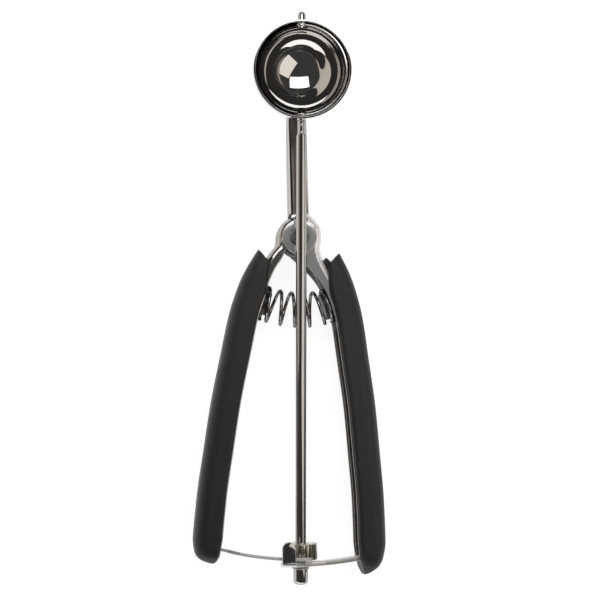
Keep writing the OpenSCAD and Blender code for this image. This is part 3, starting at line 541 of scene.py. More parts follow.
# --- Bars, teeth and wires -------------------------------------------------------------
PITCH_R = TEETH * TOOTH_MODULE / 2
TIP_R, ROOT_R = PITCH_R + TOOTH_MODULE, PITCH_R - 1.25 * TOOTH_MODULE
TOOTH_PITCH, TOOTH_PLAY = math.pi * TOOTH_MODULE, 0.03
PRESSURE = math.radians(20)
RACK_TIPS, RACK_ROOTS = PITCH_R - TOOTH_MODULE, PITCH_R + 1.3 * TOOTH_MODULE
RACK_FRONT = RACK_ROOTS + 3.0
BAR_RI = RACK_R + RACK_T / 2 + BAR_GAP
BAR_RO = BAR_RI + BAR_T
BAR_MID, BAR_HALF = (BAR_RI + BAR_RO) / 2, 4.0
PINION_LOW = -(BAR_RI - 0.3 - TIP_R * math.sin(TILT)) / math.cos(TILT)
WASHER_R = 3.4
WASHER_TOP = -(BAR_RO + WASHER_R * math.sin(TILT) + 0.1) / math.cos(TILT)
CAP_TOP, CAP_LEN, CAP_R = WASHER_TOP - WASHER_T, 5.9, 2.7
ROD_TOP, ROD_LOW = BOWL_REACH - BOWL_RO - 0.4, CAP_TOP - CAP_LEN + 1.8
TAB_LOW, TAB_DEPTH, TAB_H = -1.2, 4.4, 11.4


def over_rod(h):
    """Height over the levers' middle plane of a point h in front of the rod's axis at the rack."""
    return ROD_FOOT + h / math.cos(TILT)


def crossing(r, x):
    """Height where a bar of radius r about the pivot crosses the upright line at x."""
    return -math.sqrt(r * r - x * x)


def tab_face(web, r):
    """x of the web's inside where a bar of radius r has its tab, less a thin gap."""
    y = crossing(r, SPREAD - GRIP_WALL)
    return float(min(web_out(web, y), web_out(web, y + TAB_H))) - SHEET - 0.05


TAB_LEFT = tab_face(LEFT_WEB, RACK_R + RACK_T / 2)
TAB_RIGHT = tab_face(RIGHT_WEB, BAR_RO)
EAR_Z = over_rod(RACK_FRONT) + EAR_GAP


def tab(face, radius, low, high, thick, edge):
    """Tab of a bar bent about the pivot: a plate from z low to high against the web's face."""
    foot = crossing(radius, face)
    verts, faces = slab([[foot - 0.3, low], [foot + TAB_H, low], [foot + TAB_H, high],
                         [foot - 0.3, high]], face - thick, face, edge)
    return lifted(verts[:, [2, 0, 1]]), faces


def strip(low, high, count, radius, t, edge, foot_edge=None):
    """Flat strip bent about the pivot at the given mid radius, between the polylines low and high
    of points (u, z). At the length u along it the section is a rectangle t thick with corners
    rounded by edge, and the lower front corner by foot_edge(u). The point w off the mid radius
    goes to r = radius + w at the angle u / radius."""
    even = np.linspace(low[0, 0], low[-1, 0], count)
    u = np.unique(np.concatenate([low[:, 0], high[:, 0], even]))
    low, high = (np.interp(u, line[:, 0], line[:, 1])[:, None] for line in (low, high))
    q = quarter(5)
    e = np.minimum(edge, (high - low) / 2.1)
    g = e if foot_edge is None else np.maximum(foot_edge(u)[:, None], edge)
    z = np.concatenate([high - e + e * np.cos(q), low + e - e * np.sin(q),
                        low + e - e * np.cos(q), high - g + g * np.sin(q)], 1)
    w = np.concatenate([-t / 2 + e - e * np.sin(q), -t / 2 + e - e * np.cos(q),
                        t / 2 - e + e * np.sin(q), t / 2 - g + g * np.cos(q)], 1)
    r, a = radius + w, (u / radius)[:, None]
    return tube(lifted(np.stack([r * np.sin(a), -r * np.cos(a), z], -1)))


def pinion_outline():
    """Involute teeth: half the tooth's angle at the radius r is 90/z - backlash + inv(pressure)
    - inv(acos(base / r)), with inv(a) = tan a - a; roots and tips are joined straight."""
    def inv(a):
        return np.tan(a) - a

    base = PITCH_R * math.cos(PRESSURE)
    r = np.linspace(ROOT_R, TIP_R, 8)
    half = (math.pi / 2 / TEETH - TOOTH_PLAY / PITCH_R + inv(PRESSURE)
            - np.where(r > base, inv(np.arccos(np.minimum(base / r, 1))), 0))
    a = -math.pi / 2 + full_turn(TEETH)[:, None]
    tips = np.linspace(-1, 1, 4)[None, 1:-1]
    angle = np.concatenate([a - half, a + half[-1] * tips, a + half[::-1]], 1)
    radius = np.concatenate([r, [TIP_R, TIP_R], r[::-1]])[None]
    return np.stack([radius * np.cos(angle), radius * np.sin(angle)], -1).reshape(-1, 2)


def rack_edges():
    """The rack's lower (toothed) and upper edge as polylines (u, z): gaps with flanks at the
    pressure angle, pitch by pitch, then the step back into the lever."""
    front, tips, roots = over_rod(RACK_FRONT), over_rod(RACK_TIPS), over_rod(RACK_ROOTS)
    tip_u, jog_u, jog, end_u = 1.6 * TOOTH_PITCH, -24.6, 3.2, -38.4
    low_w = TOOTH_PITCH / 4 + TOOTH_PLAY + (PITCH_R - RACK_TIPS) * math.tan(PRESSURE)
    high_w = TOOTH_PITCH / 4 + TOOTH_PLAY - (RACK_ROOTS - PITCH_R) * math.tan(PRESSURE)
    gaps = np.arange(11, -2, -1)[:, None] * -TOOTH_PITCH
    gap_u = (gaps + np.array([-low_w, -high_w, high_w, low_w])).ravel()
    gap_z = np.tile([tips, roots, roots, tips], len(gaps))
    low = traced((end_u, TAB_LOW), (jog_u - jog, TAB_LOW), (jog_u, tips),
                 np.stack([gap_u, gap_z], 1), (tip_u - 0.3, tips), (tip_u, tips + 0.9))
    high = traced((end_u, TAB_LOW + TAB_DEPTH), (jog_u - jog, TAB_LOW + TAB_DEPTH),
                  (jog_u + 1, front), (tip_u - 1, front), (tip_u, front - 1))
    return low, high


def stirrup_edges():
    """The stirrup bar's lower and upper edge as polylines (u, z), from the ear to the tab."""
    d, front, end = BAR_HALF, EAR_Z + SHEET, TAB_RIGHT + 0.8
    low = traced((-8, d - 0.5), (-4.6, -d + 1.5), (-3.2, -d), (end, -d))
    high = traced((-8, front), (-3, front), (-3 + 1e-3, front - 0.8), (1, d + 2.2), (4, d + 0.7),
                  (9, d), (end, d))
    return low, high


def spring_line(samples):
    """Axis of the spring: a cubic Bezier curve that leaves both flanges square to their edges. The
    wire turns about it, and its first and last DEAD_COIL coil stay at the axis's ends. Returns
    the wire's points and the axis's direction at each."""
    coil_r, off = (COIL_D - WIRE) / 2, 0.3 + WIRE / 2 + 0.05

    def seat(flange):
        above, below = (float(flange_in(flange, SPRING_Y + step)) for step in (1, -1))
        return float(flange_in(flange, SPRING_Y)), math.atan((below - above) / 2)

    (xr, lr), (xl, ll) = seat(RIGHT_FLANGE), seat(LEFT_FLANGE)
    ar, al = math.pi + lr, -ll - REST_OPEN
    out_right = np.array([math.cos(ar), math.sin(ar)])
    out_left = np.array([math.cos(al), math.sin(al)])
    right = np.array([xr, SPRING_Y]) + out_right * off
    begin = left(np.array([xl, SPRING_Y, 0.0]))[:2] + out_left * off
    reach = np.linalg.norm(right - begin) / 3
    k = np.array([begin, begin + reach * out_left, right + reach * out_right, right])
    c = np.linspace(0, COILS, samples)
    t = np.clip((c - DEAD_COIL) / (COILS - 2 * DEAD_COIL), 0, 1)[:, None]
    p = k[0] * (1 - t)**3 + k[1] * 3 * t * (1 - t)**2 + k[2] * 3 * t * t * (1 - t) + k[3] * t**3
    d = (k[1] - k[0]) * (1 - t)**2 + (k[2] - k[1]) * 2 * t * (1 - t) + (k[3] - k[2]) * t * t
    d /= np.linalg.norm(d, axis=1)[:, None]
    a = 2 * math.pi * c - math.pi
    across = coil_r * np.cos(a)
    return (np.stack([p[:, 0] - across * d[:, 1], p[:, 1] + across * d[:, 0],
                      Z_MID + coil_r * np.sin(a)], 1),
            np.concatenate([d, np.zeros((samples, 1))], 1))


def wire_grid(points, axis, radius, sides=20):
    """Rings of round wire, in the normals n = direction x axis and b = direction x n."""
    d = np.gradient(points, axis=0)
    d /= np.linalg.norm(d, axis=1)[:, None]
    n = np.cross(d, axis)
    n /= np.linalg.norm(n, axis=1)[:, None]
    b = np.cross(d, n)
    a = full_turn(sides)
    return points[:, None] + radius * (np.cos(a)[None, :, None] * n[:, None]
                                       + np.sin(a)[None, :, None] * b[:, None])


# --- Shader nodes: a source is a pair (node, output) -----------------------------------
def feed(tree, target, links):
    """Links or sets a node's inputs: {input: source or value}."""
    for key, source in links.items():
        if isinstance(source, tuple) and isinstance(source[0], bpy.types.Node):
            tree.links.new(source[0].outputs[source[1]], target.inputs[key])
        else:
            target.inputs[key].default_value = source


def node(tree, kind, links=None, **values):
    """Adds a node, sets its properties and then its inputs."""
    made = tree.nodes.new(kind)
    for key, value in values.items():
        setattr(made, key, value)
    feed(tree, made, links or {})
    return made


def noise(tree, at, scale, detail, rough=0.5):
    """Noise at the coordinates at."""
    return node(tree, "ShaderNodeTexNoise", {"Vector": at, "Scale": scale, "Detail": detail,
                                             "Roughness": rough}), "Fac"


def stretched(tree, at, scale, turn=0.0):
    """Coordinates scaled along each axis and turned about z."""
    return node(tree, "ShaderNodeMapping", {"Vector": at, "Scale": scale,
                                            "Rotation": (0.0, 0.0, turn)}), "Vector"


def between(tree, source, low, high, to_low=0.0, to_high=1.0):
    """The range low to high mapped to to_low to to_high, and kept inside it."""
    return node(tree, "ShaderNodeMapRange", {"Value": source, "From Min": low, "From Max": high,
                                             "To Min": to_low, "To Max": to_high}), "Result"


def mixed(tree, factor, a, b):
    """Colour a where the factor is 0, colour b where it is 1."""
    return node(tree, "ShaderNodeMix", {"Factor": factor, "A": a, "B": b},
                data_type="RGBA"), "Result"


def maths(tree, operation, *terms):
    """One Math node's value."""
    return node(tree, "ShaderNodeMath", dict(enumerate(terms)), operation=operation), 0


def bump(tree, height, distance):
    """Normals raised by the height times the distance, in metres."""
    return node(tree, "ShaderNodeBump", {"Height": height, "Strength": 1.0,
                                         "Distance": distance}), "Normal"


def group(name, inputs, outputs):
    """A new shader node group with its input and output sockets: {socket: default}."""
    tree = bpy.data.node_groups.new(name, "ShaderNodeTree")
    for socket, value in inputs.items():
        kind = "NodeSocketVector" if isinstance(value, tuple) else "NodeSocketFloat"
        tree.interface.new_socket(socket, in_out="INPUT", socket_type=kind).default_value = value
    for socket in outputs:
        tree.interface.new_socket(socket, in_out="OUTPUT", socket_type="NodeSocketFloat")
    return tree, tree.nodes.new("NodeGroupInput"), tree.nodes.new("NodeGroupOutput")


def handling_marks():
    """Smudges and fine scratches. Smudge = noise at Scale, raised in contrast; Scratch = noise on
    coordinates stretched 1 : 30, kept where it passes a threshold; Drawn = fine lines along Y."""
    tree, inp, out = group("handling_marks", {"Vector": (0.0, 0.0, 0.0), "Scale": 60.0},
                           ["Smudge", "Scratch", "Drawn"])
    at = inp, "Vector"
    soft = noise(tree, at, (inp, "Scale"), 4.0, 0.6)
    hair = noise(tree, stretched(tree, at, (6000.0, 200.0, 200.0), 0.5), 1.0, 2.0)
    lines = noise(tree, stretched(tree, at, (9000.0, 250.0, 9000.0)), 1.0, 3.0)
    feed(tree, out, {"Smudge": between(tree, soft, 0.42, 0.68),
                     "Scratch": between(tree, hair, 0.66, 0.74), "Drawn": lines})
    return tree


def moulded_skin():
    """Skin of moulded rubber. Grain = small Voronoi cells with a noise over them; Dust = sparse
    pale specks; Cloud = slow variation of the shade."""
    tree, inp, out = group("moulded_skin", {"Vector": (0.0, 0.0, 0.0), "Grain scale": 3000.0},
                           ["Grain", "Dust", "Cloud"])
    at = inp, "Vector"
    cells = node(tree, "ShaderNodeTexVoronoi", {"Vector": at, "Scale": (inp, "Grain scale")})
    feed(tree, out, {"Grain": maths(tree, "ADD", (cells, "Distance"), noise(tree, at, 1400.0, 5.0)),
                     "Dust": between(tree, noise(tree, at, 2600.0, 1.0), 0.72, 0.8),
                     "Cloud": noise(tree, at, 90.0, 3.0)})
    return tree


# --- Finishes ----------------------------------------------------------------------------
METALS = [
    # finish, material, colour, rough, smudge, scratch, drawn in m, tarnish, scale, rim, metallic
    ("mirror", "mirror_polished_bowl", "steel", 0.025, 0.03, 0.05, 0, 0.06, 60, 1, 1),
    ("polished", "polished_sheet_steel", "sheet", 0.11, 0.02, 0.02, 1e-7, 0.05, 25, 0.45, 0.68),
    ("nested", "nested_lever_steel", "rod", 0.14, 0.03, 0.03, 2e-7, 0.08, 25, 0.4, 1),
    # bend: its pale colour on the right lever's bends is a painted highlight
    ("bend", "burnished_bend_steel", "bend", 0.3, 0.04, 0.04, 3e-7, 0.04, 25, 0.5, 0.45),
    ("blade", "blade_spring_steel", "steel", 0.14, 0.04, 0.05, 4e-7, 0.08, 60, 1, 1),
    # groove: its near-black colour is painted shade, standing in for a deep channel behind the rod
    ("groove", "unpolished_groove_steel", "groove", 0.3, 0.08, 0.08, 1e-6, 0.2, 60, 0.3, 1),
    ("rod", "polished_rod_steel", "rod", 0.08, 0.04, 0.08, 8e-7, 0.1, 60, 0.35, 1),
    ("pressed", "pressed_edge_steel", "steel", 0.24, 0.06, 0.08, 8e-7, 0.12, 60, 1, 0.72),
    ("blanked", "blanked_rack_steel", "steel", 0.3, 0.06, 0.08, 1e-6, 0.12, 60, 1, 0.45),
    ("rivet", "dull_rivet_steel", "rivet", 0.22, 0.1, 0.1, 3e-6, 0.3, 200, 1, 1),
    ("spring", "drawn_spring_wire", "spring", 0.16, 0.05, 0.08, 1e-6, 0.2, 150, 0.25, 1),
    ("gear", "brassy_gear", "gear", 0.17, 0.05, 0.05, 1e-6, 0.2, 60, 1, 1),
]
FINISH = {}


def tinted(colour, share, lift=0.0):
    """A colour times the share plus the lift, at most 1, with full alpha."""
    return (*[min(1, c * share + lift) for c in colour], 1)


def shader_base(name):
    """A material with its node tree, its Principled BSDF and the source of Object coordinates."""
    mat = bpy.data.materials.new(name)
    mat.use_nodes = True
    tree = mat.node_tree
    return mat, tree, tree.nodes["Principled BSDF"], (node(tree, "ShaderNodeTexCoord"), "Object")


def steel(name, colour, marks, rough, smudge, scratch, drawn, tarnish, scale, rim, metallic):
    """Bare metal. Roughness = rough + smudge * Smudge + scratch * Scratch, the colour is darkened
    by tarnish where it is smudged, the drawn lines lift a fine bump, and rim is how bright the
    steel mirrors at a glancing angle."""
    mat, tree, bsdf, at = shader_base(name)
    mark = node(tree, "ShaderNodeGroup", {"Vector": at, "Scale": scale}, node_tree=marks)
    smudged = maths(tree, "MULTIPLY_ADD", (mark, "Smudge"), smudge, rough)
    feed(tree, bsdf, {
        "Metallic": metallic,
        "Specular Tint": (rim, rim, rim, 1),
        "Base Color": mixed(tree, (mark, "Smudge"), tinted(colour, 1), tinted(colour, 1 - tarnish)),
        "Roughness": maths(tree, "MULTIPLY_ADD", (mark, "Scratch"), scratch, smudged),
    })
    if drawn:
        feed(tree, bsdf, {"Normal": bump(tree, (mark, "Drawn"), drawn)})
    return mat


def rubber(name, colour, skin, rough, grain):
    """Matt moulded rubber: the shade wanders by the cloud, dust lightens it, and its grain is a
    bump of that height in metres."""
    mat, tree, bsdf, at = shader_base(name)
    face = node(tree, "ShaderNodeGroup", {"Vector": at}, node_tree=skin)
    cloud = face, "Cloud"
    shade = mixed(tree, cloud, tinted(colour, 0.75), tinted(colour, 1.3))
    feed(tree, bsdf, {
        "Base Color": mixed(tree, (face, "Dust"), shade, tinted(colour, 3, 0.03)),
        "Roughness": between(tree, cloud, 0.0, 1.0, rough + 0.08, rough - 0.08),
        "Normal": bump(tree, (face, "Grain"), grain),
    })
    return mat


def finishes(colours):
    """The scoop's finishes, made once."""
    if not FINISH:
        marks, skin = handling_marks(), moulded_skin()
        for key, name, tint, *values in METALS:
            FINISH[key] = steel(name, getattr(colours, tint), marks, *values)
        FINISH["rubber"] = rubber("moulded_grip_rubber", colours.rubber, skin, 0.55, 3e-5)
        FINISH["seat"] = rubber("spring_seat_plastic", colours.seat, skin, 0.42, 2e-5)
    return FINISH


# --- Settings of the panel -----------------------------------------------------------------
def length(name, text, size):
    """A length of the panel, given in millimetres and kept in metres."""
    return FloatProperty(name=name, description=text, default=size / 1000, unit="LENGTH",
                         subtype="DISTANCE", precision=5)


def colour(name, text, value):
    """A colour of the panel."""
    return FloatVectorProperty(name=name, description=text, default=value, size=3, min=0, max=1,
                               subtype="COLOR")


def mm(value):
    """A length of the panel in millimetres."""
    return value * 1000


class ScoopSizes(bpy.types.PropertyGroup):
    """Sizes of the details that the CAD solids leave plain."""
    rim_round: length("Bowl rim rounding", "Radius of the bowl's rim edges", 0.14)
    sheet_round: length("Sheet edge rounding", "Radius of the levers' free edges", 0.28)
    left_end: length("Left grip trim", "How much shorter the left grip is at its lower end", 2.6)
    crimp: length("Rod crimp", "How much each side of the rod is pressed flat at its top", 0.45)
    cap_round: length("Cap rounding", "Radius of the rod cap's lower edge", 1.5)
    pinion_edge: length("Pinion chamfer", "Rounding of the pinion's teeth at its two ends", 0.18)


class ScoopColours(bpy.types.PropertyGroup):
    """Colours of the scoop's finishes."""
    steel: colour("Steel", "Polished stainless steel", (0.62, 0.605, 0.59))
    sheet: colour("Sheet", "Neck and right lever", (0.598, 0.6, 0.61))
    # Pale colour that paints a highlight along the right lever's bends
    bend: colour("Bend", "Burnished bend of the right lever", (0.9, 0.87, 0.86))
    rod: colour("Rod", "Rod, pins and left lever", (0.5, 0.482, 0.466))
    rivet: colour("Rivet", "Rivet heads and washers", (0.2, 0.2, 0.205))
    groove: colour("Groove", "Unpolished groove behind the rod", (0.1, 0.088, 0.083))
    # Dark colour that paints the shade of a deep channel on the neck's shallow groove behind the
    # rod
    spring: colour("Spring", "Spring wire", (0.3, 0.285, 0.275))
    gear: colour("Gear", "Pinion", (0.58, 0.545, 0.48))
    rubber: colour("Rubber", "Grips", (0.009, 0.0084, 0.008))
    seat: colour("Spring seat", "Plugs that hold the spring", (0.02, 0.02, 0.02))
    floor: colour("Floor", "Floor and backdrop", (0.9, 0.9, 0.9))


# --- Operators: one per piece or group of like pieces ----------------------------------------
class ScoopOperator(bpy.types.Operator):
    """Common ground of the scoop's operators."""
    bl_options = {"REGISTER", "UNDO"}

    @property
    def sizes(self):
        return bpy.context.scene.scoop_sizes

    @property
    def finish(self):
        return finishes(bpy.context.scene.scoop_colours)


class SCOOP_OT_grips(ScoopOperator):
    """Moulded rubber grips with a flared fin at the top, hollow around the levers"""
    bl_idname = "scoop.grips"
    bl_label = "Grips"

    def execute(self, context):
        y = stations(-HANDLE, (-HANDLE + TAIL_TIP, 10), (LEVER_END - 0.02, 14), (LEVER_END, 1),
                     (-100, 40), (-30, 90), (GRIP_TOP, 60))
        y = np.where(y < -HANDLE + TAIL_TIP, -HANDLE + TAIL_TIP * ((y + HANDLE) / TAIL_TIP) ** 2, y)
        for side, body, web, half in (("right", "frame", RIGHT_WEB, HALF),
                                      ("left", "left_arm", LEFT_WEB, NESTED)):
            grid, notch = grip_grid(web, half, y), stacked([NOTCH, NOTCH], (-5, 25))
            if side == "left":
                # The end is drawn up by left_end * share^2, the share rising from y = -118
                share = np.clip((-118 - grid[..., 1]) / (HANDLE - 118), 0, 1)
                grid[..., 1] += mm(self.sizes.left_end) * share * share
                grid, notch = left(grid), mapped(notch, left)
            obj = piece(f"{side}_rubber_grip", [tube(grid)], body, self.finish["rubber"],
                        f"{side}_grip", 40)
            carve(obj, notch)
        return {"FINISHED"}


class SCOOP_OT_levers(ScoopOperator):
    """The two pressed levers: channels with bent edges, flat cheeks and the neck"""
    bl_idname = "scoop.levers"
    bl_label = "Levers and neck"

    def execute(self, context):
        edge = mm(self.sizes.sheet_round)
        y = stations(LEVER_END, (-50, 60), (-26, 60), (-10, 60), (9, 70))
        grid = lever_grid(RIGHT_WEB, RIGHT_FLANGE, HALF, y, edge)
        s = stations(0, (WALL_RUN, 60), (NECK_RUN, 14), (NECK_RUN + TONGUE - 0.02, 40))
        parts = [tube(grid), tube(neck_grid(s)), *cheeks(CHEEK_R, HALF)]
        obj = piece("neck_and_right_lever", parts, "frame", self.finish["polished"], "neck_frame",
                    32)
        rise = math.tan(NECK_ANGLE)
        neck_end = NECK_FROM[0] + NECK_RUN * math.cos(NECK_ANGLE)

        def in_groove(at, facing):
            """The neck's front between the groove's sides, up to the bowl."""
            x, y, z = at
            depth = NECK_FROM[1] + (y - NECK_FROM[0]) * rise - z
            return (np.abs(x) < GROOVE_OUT) & (y > CHEEK_R) & (y < neck_end) & (
                depth < 1.3) & (facing[2] > 0)

        def on_bend(at, facing):
            """The bends between the web and the flanges, up to the neck."""
            return (facing[0] > 0.22) & (np.abs(facing[2]) > 0.12) & (at[0] > 0) & (
                at[1] < NECK_FROM[0] - 0.1)

        def in_grip(at, facing):
            """The stretch that lies in the grip."""
            return at[1] < FULL_Y - 8

        # The neck's front between the groove's sides takes the dark finish, which paints shade
        # there
        second_finish(obj, self.finish["groove"], in_groove)
        # The bends take the pale finish, which paints a highlight along them
        second_finish(obj, self.finish["bend"], on_bend)
        second_finish(obj, self.finish["nested"], in_grip)

        y = stations(LEVER_END, (-50, 60), (-26, 60), (-1, 80))
        head = np.linspace(0, math.radians(104), 70)
        grid = lever_grid(LEFT_WEB, LEFT_FLANGE, NESTED, y, edge, head)
        piece("left_lever_channel",
              [mapped(part, left) for part in (tube(grid), *cheeks(CHEEK_R - 0.2, NESTED))],
              "left_arm", self.finish["nested"], "left_lever", 32)
        return {"FINISHED"}


class SCOOP_OT_bowl(ScoopOperator):
    """Polished half-ball bowl with a straight band and a rounded rim"""
    bl_idname = "scoop.bowl"
    bl_label = "Bowl"

    def execute(self, context):
        e = mm(self.sizes.rim_round)
        band = np.linspace(0, RIM_BAND - e, 8)[1:]
        shell = turned(traced(
            arc(0, 0, BOWL_RO, -90, 0, 90), np.stack([np.full(7, BOWL_RO), band], 1),
            arc(BOWL_RO - e, RIM_BAND - e, e, 0, 90, 8),
            arc(BOWL_RI + e, RIM_BAND - e, e, 90, 180, 8),
            np.stack([np.full(7, BOWL_RI), band[::-1]], 1), arc(0, 0, BOWL_RI, 0, -90, 90)), 224)
        # The mouth's axis points to the front, square to the rod
        bowl = mapped(shell, lambda p: at_bowl(np.stack([p[:, 0], p[:, 2], -p[:, 1]], -1)))
        piece("polished_bowl", [bowl], "frame", self.finish["mirror"], "bowl", 40)
        return {"FINISHED"}


class SCOOP_OT_scraper(ScoopOperator):
    """Rod, half-ring blade, top pin, staking marks, pinion and cap, which turn together"""
    bl_idname = "scoop.scraper"
    bl_label = "Scraper"

    def execute(self, context):
        self.rod()
        self.blade()
        self.pins()
        self.foot()
        return {"FINISHED"}

    def turning(self, name, parts, finish, cad_node, slot="polished_steel", angle=35):
        """A piece of the scraper, from parts in the rod frame."""
        piece(name, [mapped(part, along_rod) for part in parts], "scraper", self.finish[finish],
              cad_node, angle)

    def rod(self):
        """Round bar, pressed flat by the crimp at its upper end, which has a round edge of 0.3."""
        a = full_turn(64)
        s = stations(ROD_LOW, (ROD_TOP - 7, 60), (ROD_TOP - 4.6, 16), (ROD_TOP - 0.3, 10),
                     (ROD_TOP, 5))
        flat = smooth((s - ROD_TOP + 6.2) / 1.6) * mm(self.sizes.crimp)
        end = np.clip((s - ROD_TOP + 0.3) / 0.3, 0, 1)
        end = 0.3 * (1 - np.sqrt(1 - end * end))
        rx, ry = (ROD_R - flat - end)[:, None], (ROD_R - end)[:, None]
        z = np.broadcast_to(s[:, None], (len(s), len(a)))
        grid = np.stack([rx * np.cos(a), ry * np.sin(a), z], -1)
        self.turning("scraper_rod", [tube(grid)], "rod", "rod", angle=40)

    def blade(self):
        """Half ring: at the angle t along the sphere its width is BLADE_END + BLADE_SWELL cos^2 t.
        An eye closes each end, and the journal joins the lower one to the rod."""
        t = np.linspace(-math.pi / 2, math.pi / 2, 150)[:, None]
        half_w = (BLADE_END + BLADE_SWELL * (1 - np.sin(t) ** 2)) / 2
        e, q = 0.14, quarter(4)
        line = np.linspace(-1, 1, 12)[None, 1:-1]
        flat, top = np.ones(line.shape), half_w - e
        out, back = top + e * np.sin(q), top + e * np.cos(q)
        y = np.concatenate([top * line, out, back, top * -line, -out, -back], 1)
        outer, inner = BLADE_RO - e, BLADE_RI + e
        r = np.concatenate([flat * BLADE_RO, outer + e * np.cos(q), inner - e * np.sin(q),
                            flat * BLADE_RI, inner - e * np.cos(q), outer + e * np.sin(q)], 1)
        room = np.abs(r * np.cos(t))
        y = np.clip(y, -room, room)
        x = np.sqrt(np.maximum(room**2 - y * y, 0))
        shift = np.array([0, 0, BOWL_REACH])
        eye = turned(ring_of(0, 2.3, BLADE_RO - 1.05, BLADE_RO - 0.05, 0.2), 64)
        self.turning("scraper_half_ring", [
            tube(np.stack([x, y, r * np.sin(t)], -1) + shift), mapped(eye, lambda p: p + shift),
            mapped(eye, lambda p: p * FLIP + shift),
            turned(ring_of(0, 1.6, ROD_TOP + 0.05, BOWL_REACH - BLADE_RI, 0.1), 48),
        ], "blade", "scraper_blade", angle=40)

    def pins(self):
        """The blade's top pin with a ball end, and the four staking marks on the rod."""
        tip = BOWL_RO + PIN_OUT
        pin = turned(traced((0, BLADE_RO - 1.6), (1.75, BLADE_RO - 1.5), (1.75, BLADE_RO - 1.1),
                            (1.5, BLADE_RO - 1.05), arc(0, tip - 1.5, 1.5, 0, 90, 14)), 64)
        self.turning("scraper_top_pin", [mapped(pin, lambda p: p + np.array([0, 0, BOWL_REACH]))],
                     "rod", "top_pivot_pin")
        dot = turned(ring_of(0, 0.55, 1.6, 2.06, 0.16), 32)
        self.turning("rod_staking_marks", [
            mapped(dot, lambda p: np.stack([p[:, 0], sign * p[:, 2], p[:, 1] + ROD_TOP - drop], -1))
            for drop in (1.8, 4.6) for sign in (1, -1)], "pressed", "stem_stakes")

    def foot(self):
        """Pinion with its hub, thrust washer and cap at the rod's lower end."""
        self.turning("rod_pinion", [
            slab(pinion_outline(), PINION_LOW, PINION_LOW + PINION_H, mm(self.sizes.pinion_edge)),
            turned(ring_of(0, 3.1, PINION_LOW - 0.02, PINION_LOW + PINION_H + 0.12, 0.15), 64),
        ], "gear", "pinion", "gear_brass", 30)
        washer = ring_of(ROD_R + 0.05, WASHER_R, WASHER_TOP - 0.35, WASHER_TOP, 0.1)
        self.turning("rod_thrust_washer", [turned(washer)], "pressed", "thrust_washer",
                     "pressed_steel")
        e, low, rim = mm(self.sizes.cap_round), CAP_TOP - CAP_LEN, 0.25
        cap = traced((0, low), arc(CAP_R - e, low + e, e, -90, 0, 14),
                     arc(CAP_R - rim, CAP_TOP - rim, rim, 0, 90, 14)[::3], (0, CAP_TOP))
        self.turning("rod_end_cap", [turned(cap)], "rod", "rod_cap")


class SCOOP_OT_pivot(ScoopOperator):
    """Rivet and washers of the lever pivot"""
    bl_idname = "scoop.pivot"
    bl_label = "Pivot"

    def execute(self, context):
        # Each head is the cap of a ball, DOME_H high over the washer
        ball = (DOME_R**2 + DOME_H**2) / (2 * DOME_H)
        top = HALF + WASHER_T
        r = DOME_R * np.linspace(0, 1, 14)
        upper = traced(np.stack([r, top + np.sqrt(ball**2 - r**2) - ball + DOME_H], 1),
                       (RIVET_R, top - 0.02), (RIVET_R, 0.0))
        rivet = turned(traced(upper, upper[-2::-1] * [1, -1]))
        piece("lever_pivot_rivet", [mapped(rivet, lifted)], "frame", self.finish["rivet"],
              "pivot_rivet")
        ring = turned(ring_of(RIVET_R + 0.02, 3.7, HALF + 0.015, top, 0.12))
        piece("pivot_washer_pair", both_sides(ring), "frame", self.finish["rivet"],
              "pivot_washers")
        return {"FINISHED"}


class SCOOP_OT_spring(ScoopOperator):
    """Return spring between the levers, and its seats"""
    bl_idname = "scoop.spring"
    bl_label = "Return spring"

    def execute(self, context):
        line, axis = spring_line(480)
        coil = closed_mesh("coiled_return_spring", [tube(wire_grid(line, axis, WIRE / 2))])
        obj = finished(coil, self.finish["spring"], 50)
        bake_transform(obj)
        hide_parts("return_spring")
        for cad_node in ("right_spring_seat", "left_spring_seat"):
            dress(cad_node, self.finish["seat"], 0.3)
        return {"FINISHED"}


class SCOOP_OT_gearwork(ScoopOperator):
    """Curved rack, and the stirrup that carries the rod's lower end, with their rivets"""
    bl_idname = "scoop.gearwork"
    bl_label = "Rack and stirrup"

    def execute(self, context):
        rack_tab = tab(TAB_LEFT, RACK_R, TAB_LOW, TAB_LOW + TAB_DEPTH, RACK_T, 0.15)
        toothed = strip(*rack_edges(), 130, RACK_R, RACK_T, 0.14)
        piece("toothed_rack", [toothed, mapped(rack_tab, left)], "left_arm",
              self.finish["blanked"], "rack")

        def under_ear(u):
            """Rounding of the bar's lower front corner, which swells towards the ear."""
            return 0.25 + 1.1 * np.clip((-2.8 - u) / 0.4, 0, 1)

        ear = slab(traced(arc(-5.5, EAR_H - 2.5 - BAR_RI, 2.5, 0, 180, 40),
                          (-8, EAR_FOOT - BAR_RO), (-3, EAR_FOOT - BAR_RO)),
                   EAR_Z, EAR_Z + SHEET, 0.28)
        obj = piece("stirrup_bar_and_ear", [
            strip(*stirrup_edges(), 150, BAR_MID, BAR_T, 0.25, under_ear), mapped(ear, lifted),
            tab(TAB_RIGHT, BAR_MID, -BAR_HALF, BAR_HALF, BAR_T, 0.2),
        ], "frame", self.finish["pressed"], "stirrup")
        second_finish(obj, self.finish["rod"], lambda at, facing: (facing[2] > 0.98) & (
            at[2] > Z_MID + EAR_Z + SHEET - 0.1) & (at[1] > EAR_FOOT - BAR_RO))
        for cad_node in ("stirrup_rivets", "rack_rivets"):
            dress(cad_node, self.finish["rivet"], 0.1)
        return {"FINISHED"}


